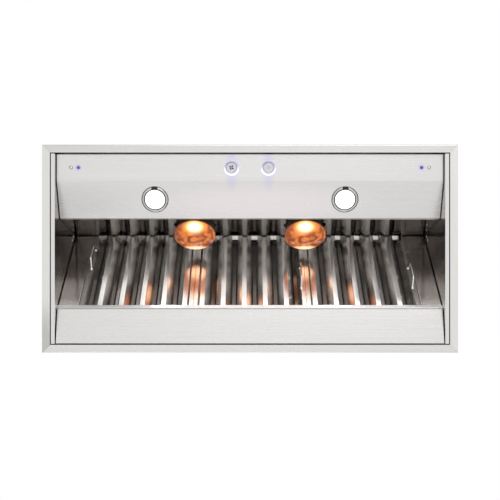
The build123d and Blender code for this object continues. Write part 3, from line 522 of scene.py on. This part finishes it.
nodeFinishes = {
    "steelX": ["front_skin", "rear_skin", "top_plate"],
    "steelPanel": ["control_panel"],
    "tray": ["grease_tray", "filter_rest_rail"],
    "steelY": ["left_end_skin", "right_end_skin"],
    "steelZ": ["lower_duct_cover", "upper_duct_cover"],
    "liner": ["liner_left_wall", "liner_right_wall", "left_filler_plate", "right_filler_plate",
              "filter_top_channel"],
    "polished": ["lamp_panel"],
    "frame": ["left_filter_frame", "middle_filter_frame", "right_filter_frame"],
    "zinc": ["lamp_brackets", "control_box", "junction_box", "conduit_connector", "ceiling_bracket",
             "hanger_rods", "damper_pins"],
    "galvanised": ["blower_housing", "outlet_collar", "front_damper_flap", "rear_damper_flap"],
    "alloy": ["left_light_can", "right_light_can", "blower_wheel"],
    "motor": ["blower_motor"],
    "brass": ["left_lamp_base", "right_lamp_base"],
    "porcelain": ["left_lamp_socket", "right_lamp_socket"],
    "switch": ["fan_switch", "light_dimmer"],
    "chrome": ["panel_screws", "wall_screws", "cover_screws"],
    "indicator": ["indicator_lenses"],
    "wire": ["left_filter_handle", "middle_filter_handle", "right_filter_handle"],
    "baffle": ["left_filter_baffles", "middle_filter_baffles", "right_filter_baffles"],
    "knob": ["fan_knob", "light_knob"],
    "bezel": ["fan_knob_bezel", "light_knob_bezel"],
    "lens": ["left_light_lens", "right_light_lens"],
    "trim": ["left_light_trim", "right_light_trim"],
}
for finish, members in nodeFinishes.items():
    for member in members:
        piece = nodes[member]
        if not piece.material_slots:
            piece.data.materials.append(finishes[finish])
        for slot in piece.material_slots:
            slot.material = finishes[finish]
print("nodes painted")


def newGeometryTree(name, inputs):
    tree = bpy.data.node_groups.new(name, "GeometryNodeTree")
    for label, kind in [("Geometry", "Geometry")] + inputs + [("Finish", "Material")]:
        tree.interface.new_socket(label, in_out="INPUT", socket_type="NodeSocket" + kind)
    tree.interface.new_socket("Geometry", in_out="OUTPUT", socket_type="NodeSocketGeometry")
    return tree, tree.nodes.new("NodeGroupInput").outputs


def closeTree(tree, entry, instances):
    # every tree ends in real geometry with its finish set
    realize = addNode(tree, "GeometryNodeRealizeInstances", {0: instances})
    finished = addNode(tree, "GeometryNodeSetMaterial", {
        "Geometry": realize.outputs[0], "Material": entry["Finish"]})
    addNode(tree, "NodeGroupOutput", {0: finished.outputs[0]})
    return tree


def makeRowTree():
    # repeats its input along a straight row
    tree, entry = newGeometryTree("channelRow", [("Count", "Int"), ("Pitch", "Vector")])
    row = addNode(tree, "GeometryNodeMeshLine", {"Count": entry["Count"], "Offset": entry["Pitch"]},
                  mode="OFFSET")
    place = addNode(tree, "GeometryNodeInstanceOnPoints", {
        "Points": row.outputs[0], "Instance": entry["Geometry"]})
    return closeTree(tree, entry, place.outputs[0])


def makeScrewTree():
    # puts one screw on every point of its input, each turned by a seeded random angle
    tree, entry = newGeometryTree("screwsOnPoints", [
        ("Screw", "Object"), ("Axis", "Vector"), ("Seed", "Int")])
    screw = addNode(tree, "GeometryNodeObjectInfo", {"Object": entry["Screw"]})
    turn = addNode(tree, "FunctionNodeRandomValue", {"Seed": entry["Seed"]}, data_type="FLOAT")
    turn.inputs["Max"].default_value = math.pi
    angle = [socket for socket in turn.outputs if socket.name == "Value" and socket.type == "VALUE"][0]
    spin = addNode(tree, "FunctionNodeAxisAngleToRotation", {"Axis": (0, 0, 1), "Angle": angle})
    lean = addNode(tree, "FunctionNodeAlignRotationToVector", {"Vector": entry["Axis"]}, axis="Z")
    both = addNode(tree, "FunctionNodeRotateRotation", {0: lean.outputs[0], 1: spin.outputs[0]},
                   rotation_space="LOCAL")
    place = addNode(tree, "GeometryNodeInstanceOnPoints", {
        "Points": entry["Geometry"], "Instance": screw.outputs["Geometry"], "Rotation": both.outputs[0]})
    return closeTree(tree, entry, place.outputs[0])


rowTree = makeRowTree()
screwTree = makeScrewTree()


def evaluatedMesh(holder):
    # an object's mesh with its modifiers applied
    bpy.context.view_layer.update()
    return bpy.data.meshes.new_from_object(holder.evaluated_get(bpy.context.evaluated_depsgraph_get()))


def runTree(name, source, tree, values):
    # evaluates a tree on a source mesh and keeps the result as a plain mesh
    source.materials.append(values["Finish"])
    holder = bpy.data.objects.new(name + "Source", source)
    bpy.context.scene.collection.objects.link(holder)
    modifier = holder.modifiers.new("nodes", "NODES")
    modifier.node_group = tree
    for item in tree.interface.items_tree:
        if item.in_out == "INPUT" and item.name in values:
            modifier[item.identifier] = values[item.name]
    mesh = evaluatedMesh(holder)
    bpy.data.objects.remove(holder)
    return keepMesh(name, mesh, 35)


def joinPieces(name, parts):
    # one mesh from several that share a finish
    build = bmesh.new()
    for part in parts:
        build.from_mesh(part.data)
    finish = parts[0].data.materials[0]
    for part in parts:
        bpy.data.objects.remove(part)
    return finishMesh(name, build, finish)


# each wave of the rolled sheet: its height, turns per mm and share of the channel's phase
baffle = {"pitch": 63.3, "count": 5, "sheet": 0.8, "bend": 1.6, "inset": 1.7, "shortBy": 22.0,
          "lowerStart": 25.4, "upperStart": 57.05, "width": 338.4, "start": -14.0, "end": 328.0,
          "lowerShape": [(-21, 12.4), (-7, 1.9), (7, 1.9), (21, 12.4)],
          "upperShape": [(-19.5, 9.4), (-5.5, 19.9), (5.5, 19.9), (19.5, 9.4)],
          "steps": 14, "waves": ((0.22, 0.031, 1), (0.11, 0.083, 0))}
# each filter's centre, and which way its row of channels runs
filters = (("left", -339.6, -1), ("middle", 0.0, 1), ("right", 339.6, 1))


def slopePoint(x, along, up):
    # x, distance down the slope and height above it, all in mm
    return slope["top"] + Vector((x * mm, 0, 0)) + slope["along"] * along * mm + slope["up"] * up * mm


def channelMesh(name, shape, centre, start, end, phase):
    # one folded channel, its long faces very slightly rippled as rolled sheet is
    line = roundedLine(shape, baffle["bend"])
    last = len(line) - 1
    offsets = []
    for k in range(len(line)):
        run = (line[min(k + 1, last)] - line[max(k - 1, 0)]).normalized()
        offsets.append(Vector((-run.y, run.x)) * baffle["sheet"] / 2)
    skins = list(zip(line, offsets))
    loop = [p + o for p, o in skins] + [p - o for p, o in reversed(skins)]
    build = bmesh.new()
    rings = []
    for n in range(baffle["steps"] + 1):
        along = start + (end - start) * n / baffle["steps"]
        sway = sum(height * math.sin(share * phase + along * turns)
                   for height, turns, share in baffle["waves"])
        if n in (0, baffle["steps"]):
            sway = 0
        rings.append([build.verts.new(slopePoint(centre + p.x, along, p.y + sway)) for p in loop])
    for low, high in zip(rings, rings[1:]):
        for k in range(len(loop)):
            j = (k + 1) % len(loop)
            build.faces.new((low[k], low[j], high[j], high[k]))
    for ring in (rings[0], rings[-1]):
        for k in range(last):
            build.faces.new((ring[k], ring[k + 1], ring[-2 - k], ring[-1 - k]))
    bmesh.ops.recalc_face_normals(build, faces=build.faces)
    mesh = bpy.data.meshes.new(name)
    build.to_mesh(mesh)
    build.free()
    return mesh


def makeBaffles(side, centre, turn):
    # the upper row stops short of the frame at one end
    early, late = (baffle["shortBy"], 0) if turn > 0 else (0, baffle["shortBy"])
    rows = []
    for label, cuts in (("Lower", (0, 0)), ("Upper", (early, late))):
        key = label.lower()
        x = centre + turn * (baffle[key + "Start"] - baffle["width"] / 2)
        start = baffle["start"] + max(cuts[0], baffle["inset"])
        end = baffle["end"] - max(cuts[1], baffle["inset"])
        source = channelMesh(side + label, baffle[key + "Shape"], x, start, end, centre * 0.02 + len(rows))
        rows.append(runTree(side + "Baffle" + label, source, rowTree, {
            "Count": baffle["count"], "Pitch": (turn * baffle["pitch"] * mm, 0, 0),
            "Finish": finishes["baffle"]}))
    replaceNode(joinPieces(side + "FilterBaffles", rows), side + "_filter_baffles")


for side, centre, turn in filters:
    makeBaffles(side, centre, turn)
print("baffles made")

handle = {"wire": 2.5, "foot": 44, "grip": 32, "reach": 33, "fromSide": 12, "fromEnd": 129, "bend": 9,
          "sink": 0.4,
          "bead": [(0, -0.1), (5.2, -0.1), (4.8, 0.7), (3.6, 1.9), (2.4, 3.2), (0, 3.6)]}


def tubeAlong(build, line, radius, segments=16):
    # round wire through a list of points, its section carried along without twist
    normal = Vector((1, 0, 0))
    rings = []
    for k, point in enumerate(line):
        run = (line[min(k + 1, len(line) - 1)] - line[max(k - 1, 0)]).normalized()
        normal = (normal - normal.dot(run) * run).normalized()
        other = run.cross(normal)
        ring = []
        for n in range(segments):
            angle = 2 * math.pi * n / segments
            out = normal * math.cos(angle) + other * math.sin(angle)
            ring.append(build.verts.new(point + out * radius))
        rings.append(ring)
    for low, high in zip(rings, rings[1:]):
        for n in range(segments):
            j = (n + 1) % segments
            build.faces.new((low[n], low[j], high[j], high[n]))
    build.faces.new(rings[0])
    build.faces.new(rings[-1])


def makeHandle(side, centre, turn):
    x = centre + turn * (baffle["width"] / 2 - handle["fromSide"])
    halfway = handle["fromEnd"] + baffle["start"] if turn < 0 else baffle["end"] - handle["fromEnd"]
    foot, grip = handle["foot"], handle["grip"]
    corners = [slopePoint(x, halfway + along, -depth) for along, depth in (
        (-foot, handle["sink"]), (-grip, handle["reach"]), (grip, handle["reach"]), (foot, handle["sink"]))]
    build = bmesh.new()
    tubeAlong(build, roundedLine(corners, handle["bend"] * mm, 8), handle["wire"] * mm)
    for corner in (corners[0], corners[-1]):   # weld beads at the feet
        turned(build, handle["bead"], axisPlace(corner, -slope["up"]), 20)
    piece = solidPiece(side + "FilterHandle", build, finishes["wire"], 50)
    replaceNode(piece, side + "_filter_handle")


for side, centre, turn in filters:
    makeHandle(side, centre, turn)
print("handles made")

knobLook = {"radius": 17.3, "foot": 1.8, "top": 13.6, "spindleTop": 38.0, "spindle": 3.0, "flutes": 24,
            "fluteDepth": 0.75, "gripRings": (8, 9), "bezel": 22.0, "bezelFoot": 14.2, "bezelTop": 18.2,
            "bore": 6.4, "iconLift": 0.12, "iconLevel": 2.32, "blades": 4, "bladeStart": 28, "rays": 8}


def fluteRipple(angle, index):
    if index in knobLook["gripRings"]:
        return -knobLook["fluteDepth"] * (0.5 + 0.5 * math.cos(knobLook["flutes"] * angle)) ** 4
    return 0


def makeKnob(side):
    place = Matrix.Translation((knobCentres[side].x, knobCentres[side].y, 0))
    r, foot, top = knobLook["radius"], knobLook["foot"], knobLook["top"]
    spindle, spindleTop = knobLook["spindle"], knobLook["spindleTop"]
    profile = [(0, foot + 0.5), (8, foot + 0.42), (13.6, foot + 0.3), (14.1, foot + 0.75),
               (14.6, foot + 0.75), (15.0, foot + 0.02), (15.6, foot), (r - 0.5, foot + 1.5),
               (r, foot + 2.4), (r, foot + 10.4), (r - 0.8, top), (spindle, top), (spindle, spindleTop),
               (0, spindleTop)]
    knob = turnedPiece(side + "KnobTurned", profile, place, finishes["knob"], 192, fluteRipple, sharpAngle=30)
    replaceNode(knob, side + "_knob")
    r, bore, foot, top = (knobLook[key] for key in ("bezel", "bore", "bezelFoot", "bezelTop"))
    ring = [(bore, foot), (r - 1.2, foot), (r - 0.3, foot + 0.35), (r, foot + 1.2), (r, top), (bore, top)]
    bezel = turnedPiece(side + "KnobLitRing", ring, place, finishes["bezel"], 96, closed=True)
    replaceNode(bezel, side + "_knob_bezel")


def addPlate(build, outline, turn, centre):
    # thin flat symbol on the knob's face, its outline in mm turned about the knob's centre
    points = [Matrix.Rotation(turn, 2) @ Vector(point) * mm + centre.xy for point in outline]
    top = knobLook["iconLevel"]
    low, high = ([build.verts.new((*point, level * mm)) for point in points]
                 for level in (top - knobLook["iconLift"], top))
    build.faces.new(low)
    build.faces.new(reversed(high))
    for k in range(len(points)):
        j = (k + 1) % len(points)
        build.faces.new((low[j], low[k], high[k], high[j]))


def makeIcons():
    # a fan of swept blades, and a ring with rays for the light
    blade = smoothLine([(0.6, -0.5), (2.6, 2.0), (5.4, 2.6), (7.4, 0.8), (6.4, -1.5), (3.0, -1.3)], 3)
    build = bmesh.new()
    for k in range(knobLook["blades"]):
        turn = math.radians(knobLook["bladeStart"]) + 2 * math.pi * k / knobLook["blades"]
        addPlate(build, blade, turn, knobCentres["fan"])
    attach(solidPiece("fanIcon", build, finishes["icon"]), "fan_knob")
    build = bmesh.new()
    centre = knobCentres["light"]
    top = knobLook["iconLevel"]
    low = top - knobLook["iconLift"]
    ring = [(2.3, low), (3.0, low), (3.0, top), (2.3, top)]
    turned(build, ring, Matrix.Translation((centre.x, centre.y, 0)), 32, closed=True)
    ray = [(4.0, -0.3), (5.4, -0.3), (5.4, 0.3), (4.0, 0.3)]
    for k in range(knobLook["rays"]):
        addPlate(build, ray, 2 * math.pi * k / knobLook["rays"], centre)
    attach(solidPiece("lightIcon", build, finishes["iconGrey"]), "light_knob")


for side in knobCentres:
    makeKnob(side)
makeIcons()
print("knobs made")

taskLight = {"x": 283.0, "centre": (-146.9, 38.5), "out": Vector((0, 0.343, -0.939)),
             "trim": [(38.6, 0.75), (38.8, 1.7), (38.0, 3.0), (36.6, 3.85), (35.0, 4.0), (33.6, 3.8),
                      (32.6, 3.1), (32.3, 1.7), (32.3, 0.75)],
             "shadeSeals": [[(30.2, 0.7), (40.2, 0.7), (40.2, 1.3), (30.2, 1.3)],
                       [(29.5, 2.3), (32.2, 2.3), (32.2, 2.8), (29.5, 2.8)]],
             "lens": [(0, 4.0), (12, 3.85), (21, 3.5), (27, 3.2), (29.3, 2.6), (29.4, 1.0), (0, 1.0)],
             "notch": (18.0, 7.5, 6.0), "notchRim": 39.4, "notchLevel": 2.6}


def cutNotch(piece, place):
    # takes a slot out of the trim where its release latch sits
    width, depth, height = (value * mm for value in taskLight["notch"])
    build = bmesh.new()
    bmesh.ops.create_cube(build, size=1.0)
    centre = Matrix.Translation((0, taskLight["notchRim"] * mm - depth / 2, taskLight["notchLevel"] * mm))
    build.transform(place @ centre @ Matrix.Diagonal((width, depth, height, 1)))
    cutter = finishMesh("notchCutter", build)
    modifier = piece.modifiers.new("notch", "BOOLEAN")
    modifier.operation = "DIFFERENCE"
    modifier.solver = "EXACT"
    modifier.object = cutter
    mesh = evaluatedMesh(piece)
    piece.modifiers.clear()
    piece.data = mesh
    bpy.data.objects.remove(cutter)


def lightPlace(end):
    # the middle of one task light's face, its Z axis out of the lens
    y, z = taskLight["centre"]
    return axisPlace((end * taskLight["x"] * mm, y * mm, z * mm), taskLight["out"])


def makeTaskLight(side, end):
    place = lightPlace(end)
    trim = turnedPiece(side + "LightTrim", taskLight["trim"], place, finishes["trim"], 96, closed=True)
    cutNotch(trim, place)
    replaceNode(trim, side + "_light_trim")
    # painted shade: thin black rubber rings under and inside the trim stand in for the shadow gaps round it
    shadeSeals = bmesh.new()
    for ring in taskLight["shadeSeals"]:
        turned(shadeSeals, ring, place, 96, closed=True)
    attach(solidPiece(side + "LightSeal", shadeSeals, finishes["shadeRubber"]), "hood")
    lens = turnedPiece(side + "LightLens", taskLight["lens"], place, finishes["lens"], 96)
    replaceNode(lens, side + "_light_lens")


for side, end in ends:
    makeTaskLight(side, end)
print("task lights made")

# head and shade washer in mm; places in metres, each edge the way in from its node's box to a screw's middle
screwLook = {"radius": 4.3, "height": 2.1, "pocket": 2.0, "pocketDepth": 1.1, "shadeWasher": 5.1,
             "shadeWasherBore": 3.9, "shadeWasherHeight": 0.4, "panelEdge": 0.0042, "panelSeat": 0.0022,
             "wallEdge": 0.0045, "wallFace": 0.57275, "coverEdge": 0.0055, "coverSeat": 0.0025}


def hexRipple(angle, index):
    # pocket rings become hexagons
    if index in (1, 2):
        sixth = math.pi / 3
        return screwLook["pocket"] * (math.cos(sixth / 2) / math.cos(angle % sixth - sixth / 2) - 1)
    return 0


def makeScrewSource():
    h, p, r = screwLook["height"], screwLook["pocket"], screwLook["radius"]
    floor = h - screwLook["pocketDepth"]
    profile = [(0, floor), (p, floor), (p, h), (p + 0.5, h), (r * 0.75, h * 0.86), (r * 0.94, h * 0.55),
               (r, 0.15), (r, 0), (0, 0)]
    return turnedPiece("screwSource", profile, Matrix(), finishes["chrome"], 24, hexRipple)


def makeWasherSource():
    # painted shade: a black ring just wider than the head stands in for the shaded outline round each screw
    r, bore, height = screwLook["shadeWasher"], screwLook["shadeWasherBore"], screwLook["shadeWasherHeight"]
    return turnedPiece("washerSource", [(bore, 0), (r, 0), (r, height), (bore, height)], Matrix(),
                       finishes["shadeRubber"], 32, closed=True)


def screwRuns():
    # for each node of screws, the way its heads face and where they sit
    low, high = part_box("panel_screws")
    y, z, edge = midOf((low, high), 1), low[2] + screwLook["panelSeat"], screwLook["panelEdge"]
    runs = {"panel_screws": [((0, 0, -1), [(low[0] + edge, y, z), (high[0] - edge, y, z)])],
            "wall_screws": [], "cover_screws": []}
    for side, end in ends:
        low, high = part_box("wall_screws")
        x, edge = end * screwLook["wallFace"], screwLook["wallEdge"]
        runs["wall_screws"].append(((-end, 0, 0), [(x, low[1] + edge, high[2] - edge),
                                                   (x, high[1] - edge, low[2] + edge)]))
        low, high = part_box("cover_screws")
        x = (low if end < 0 else high)[0] - end * screwLook["coverSeat"]
        z, edge = midOf((low, high), 2), screwLook["coverEdge"]
        runs["cover_screws"].append(((end, 0, 0), [(x, low[1] + edge, z), (x, high[1] - edge, z)]))
    return runs


def makeScrews():
    screw = makeScrewSource()
    shadeWasher = makeWasherSource()
    for node, runs in screwRuns().items():
        label = node.replace("_s", "S")
        heads = []
        for number, (axis, points) in enumerate(runs):
            for source, finish, part in ((screw, "chrome", "Heads"), (shadeWasher, "shadeRubber", "Washers")):
                name = label + part + str(number)
                seats = bpy.data.meshes.new(name)
                seats.from_pydata(points, [], [])
                made = runTree(name, seats, screwTree, {
                    "Screw": source, "Axis": axis, "Seed": number + len(points), "Finish": finishes[finish]})
                if part == "Heads":
                    heads.append(made)
                else:
                    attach(made, "upper_cover" if node == "cover_screws" else "hood")
        replaceNode(joinPieces(label + "Domed", heads), node)
    bpy.data.objects.remove(screw)
    bpy.data.objects.remove(shadeWasher)


def makeIndicators():
    # a low dome, a lip behind the sheet and a straight stem
    build = bmesh.new()
    top = ledCentres[0].z / mm
    dome = [(0, 0), (2.2, 0.15), (3.7, 0.6), (4.6, 1.3), (4.8, 2.0), (3.9, 2.0), (3.9, 15.9), (0, 15.9)]
    for centre in ledCentres:
        turned(build, [(r, top + h) for r, h in dome], Matrix.Translation((centre.x, centre.y, 0)), 32)
    domes = solidPiece("indicatorDomes", build, finishes["indicator"])
    replaceNode(domes, "indicator_lenses")


makeScrews()
makeIndicators()
print("screws and indicators made")

heatLamp = {"x": 170.0, "centre": (-39.0, 114.0), "back": Vector((0, -0.755, 0.656)), "wall": 1.1,
            "crown": [(0, -20), (20, -18.2), (38, -12.8), (52, -6.6), (60.5, -1.8), (63.2, 2.2), (62.9, 8)],
            "flank": [(62.9, 8), (54, 42), (38, 80), (22, 106), (17.5, 118)],
            "mirrorGap": 1.8, "mirrorWall": 0.5, "capsuleAt": 42.0, "capsuleRadius": 9.5, "capsuleNose": 11,
            "silvered": (0.002, 0.008),
            "hotSpot": ((0.168, -0.0675, 0.085), (0.052, 0.036, 0.06)),
            "rimGlint": ((0.17, -0.001, 0.145), (0.048, 0.015, 0.036)),
            "hotStops": [(0.0, (0, 0, 0, 1)), (0.25, (0.06, 0.02, 0.004, 1)), (0.55, (0.4, 0.18, 0.04, 1)),
                         (0.8, (1.3, 0.9, 0.35, 1)), (1.0, (2.6, 2.3, 1.6, 1))]}


def setStops(ramp, stops):
    # the ramp's own two stops take the ends, the rest are added
    elements = ramp.color_ramp.elements
    elements[0].position, elements[0].color = stops[0]
    elements[1].position, elements[1].color = stops[-1]
    for at, color in stops[1:-1]:
        elements.new(at).color = color


def lampSpot(tree, position, end, spot):
    (x, y, z), halfSize = heatLamp[spot]
    return addSpot(tree, position, (end * x, y, z), halfSize)


def amberGlass(side, end):
    # amber face lit from inside: hot where the filament shows, coppery swirls around it, and a painted
    # highlight at its far rim
    material, tree, shader, position = newMaterial(side + "AmberGlass")
    centred = addNode(tree, "ShaderNodeMapping", {
        "Vector": position, "Location": (-end * 0.17, 0.048, -0.105)})
    swirl = addNode(tree, "ShaderNodeTexWave", {
        "Vector": centred.outputs[0], "Scale": 11.0, "Distortion": 9.0, "Detail": 3.0, "Detail Scale": 2.2},
        wave_type="RINGS", rings_direction="SPHERICAL")
    mottle = noise(tree, position, Scale=95.0, Detail=4.0, Roughness=0.65, Distortion=1.2)
    both = mathNode(tree, "MULTIPLY", swirl.outputs["Fac"], mottle)
    copper = mixColor(tree, both, (0.14, 0.028, 0.006), (1.12, 0.36, 0.05))
    hot = addNode(tree, "ShaderNodeValToRGB", {"Fac": lampSpot(tree, position, end, "hotSpot")})
    setStops(hot, heatLamp["hotStops"])
    glow = addNode(tree, "ShaderNodeMix", {0: 1.0, 6: copper, 7: hot.outputs["Color"]}, data_type="RGBA",
                   blend_type="ADD").outputs[2]
    # painted highlight: a peach glint along the dome's far rim, standing in for a reflection on the glass
    glintedGlow = mixColor(tree, lampSpot(tree, position, end, "rimGlint"), glow, (1.9, 1.15, 0.72))
    # behind the face the flank is silvered, so no light comes out of it
    reach = vectorMath(tree, "DOT_PRODUCT", position, tuple(heatLamp["back"]))
    face = heatLamp["back"].dot(Vector((0, *heatLamp["centre"]))) * mm
    silvered = mapRange(tree, reach, [face + depth for depth in heatLamp["silvered"]])
    amber = mixColor(tree, mottle, (0.4, 0.11, 0.03), (0.22, 0.045, 0.012))
    feedAll(tree, shader, {
        "Emission Color": mixColor(tree, silvered, glintedGlow, (0.02, 0.012, 0.008)),
        "Base Color": mixColor(tree, silvered, amber, (0.07, 0.05, 0.04)),
        "Roughness": mapRange(tree, mottle, target=(0.05, 0.22)),
        "Normal": addBump(tree, mottle, 0.3, 0.001),
        "Emission Strength": 0.8, "Transmission Weight": 0.35, "IOR": 1.45, "Coat Weight": 0.5})
    return material


def makeHeatLamp(side, end):
    y, z = heatLamp["centre"]
    place = axisPlace((end * heatLamp["x"] * mm, y * mm, z * mm), heatLamp["back"])
    flank = smoothLine(heatLamp["flank"], 6)
    outer = smoothLine(heatLamp["crown"], 4) + flank[1:]
    wall = heatLamp["wall"]
    inner = [(max(r - wall, 0), h + (wall if r < 60 and h < 3 else 0)) for r, h in reversed(outer)]
    glass = turnedPiece(side + "HeatLampGlass", outer + inner, place, amberGlass(side, end), 96,
                        sharpAngle=60)
    replaceNode(glass, side + "_heat_lamp")
    mirror = [(r - heatLamp["mirrorGap"], h) for r, h in flank][1:-3]
    shell = mirror + [(r - heatLamp["mirrorWall"], h) for r, h in reversed(mirror)]
    reflector = turnedPiece(side + "HeatLampReflector", shell, place, finishes["reflector"], 96, closed=True,
                            sharpAngle=60)
    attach(reflector, "hood")
    at, r, nose = heatLamp["capsuleAt"], heatLamp["capsuleRadius"], heatLamp["capsuleNose"]
    capsule = [(0, at - nose)]
    capsule += [(r * math.sin(a), at - nose * math.cos(a)) for a in (0.5, 1.0, 1.5, 2.0, 2.5)]
    capsule += [(4.2, at + 14), (4.0, at + 40), (0, at + 40)]
    burner = turnedPiece(side + "HeatLampBurner", capsule, place, finishes["burner"], 32, sharpAngle=60)
    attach(burner, "hood")


for side, end in ends:
    makeHeatLamp(side, end)
print("heat lamps made")

# the room's tones from the horizon up; each light's place, target, size and power
stage = {"wallTones": [(0.0, (0.5, 0.51, 0.53)), (0.04, (0.3, 0.3, 0.303)), (0.14, (0.42, 0.42, 0.4242)),
                       (0.22, (0.82, 0.82, 0.8282)), (0.34, (0.5, 0.5, 0.505)), (0.5, (0.8, 0.8, 0.808)),
                       (0.75, (1, 1, 1))],
         "sideLean": 0.12, "floor": -2.6, "half": 6.0, "cameraDrop": 2.2, "cameraY": 0.00396, "lens": 54.06,
         "taskPower": 0.16, "taskSize": 0.056, "taskLift": 0.006,
         "lights": [("floorWash", (0, 0, -0.4), (0, 0, -2), (3.2, 2.6), 16),
                    ("frontFill", (0.5, -1.9, -2.0), (0, 0, 0), (2.4, 1.2), 22),
                    ("rearFill", (-0.3, 3.2, -1.2), (0, 0, 0.2), (2.4, 1.2), 14)]}


def makeFloor():
    material, tree, shader, position = newMaterial("paleFloor")
    cloud = noise(tree, position, Scale=3.0, Detail=4.0)
    feedAll(tree, shader, {"Base Color": mixColor(tree, cloud, (0.86, 0.86, 0.855), (0.9, 0.9, 0.895)),
                           "Roughness": 0.9})
    build = bmesh.new()
    h = stage["half"]
    corners = ((-h, -h), (h, -h), (h, h), (-h, h))
    build.faces.new([build.verts.new((x, y, stage["floor"])) for x, y in corners])
    finishMesh("floor", build, material)


def makeWorld():
    # tones that the steel reflects, behind a plain white backdrop for the camera
    world = bpy.data.worlds.new("studio")
    world.use_nodes = True
    tree = world.node_tree
    around = tree.nodes.new("ShaderNodeTexCoord").outputs["Generated"]
    sideways = mathNode(tree, "MULTIPLY", axisOf(tree, around, "X"), stage["sideLean"])
    leaning = mathNode(tree, "ADD", axisOf(tree, around, "Z"), sideways)
    walls = addNode(tree, "ShaderNodeValToRGB", {"Fac": leaning})
    setStops(walls, [(at, (*tone, 1)) for at, tone in stage["wallTones"]])
    seen = tree.nodes.new("ShaderNodeLightPath").outputs["Is Camera Ray"]
    feedAll(tree, tree.nodes["Background"], {
        "Color": mixColor(tree, seen, walls.outputs["Color"], (1, 1, 1)), "Strength": 1.0})
    bpy.context.scene.world = world


def addAreaLight(name, place, target, size, power):
    light = bpy.data.lights.new(name, "AREA")
    light.shape = "RECTANGLE"
    light.size, light.size_y = size
    light.energy = power
    lamp = bpy.data.objects.new(name, light)
    lamp.location = place
    lamp.rotation_euler = (Vector(target) - Vector(place)).to_track_quat("-Z", "Y").to_euler()
    lamp.visible_camera = False
    bpy.context.scene.collection.objects.link(lamp)
    return lamp


def makeLights():
    for settings in stage["lights"]:
        addAreaLight(*settings)
    for side, end in ends:          # the lit lamps behind the two lenses
        face = lightPlace(end).translation
        out = taskLight["out"]
        lamp = addAreaLight("taskLamp", face + out * stage["taskLift"], face + out,
                            (stage["taskSize"], stage["taskSize"]), stage["taskPower"])
        lamp.data.shape = "DISK"


def makeCamera():
    # looks straight up, the control side at the top
    camera = bpy.data.cameras.new("camera")
    camera.lens = stage["lens"]
    view = bpy.data.objects.new("camera", camera)
    view.location = (0, stage["cameraY"], -stage["cameraDrop"])
    view.rotation_euler = (math.pi, 0, 0)
    bpy.context.scene.collection.objects.link(view)
    bpy.context.scene.camera = view
    bpy.context.scene.view_settings.view_transform = "Standard"


makeFloor()
makeWorld()
makeLights()
makeCamera()
print("stage set")
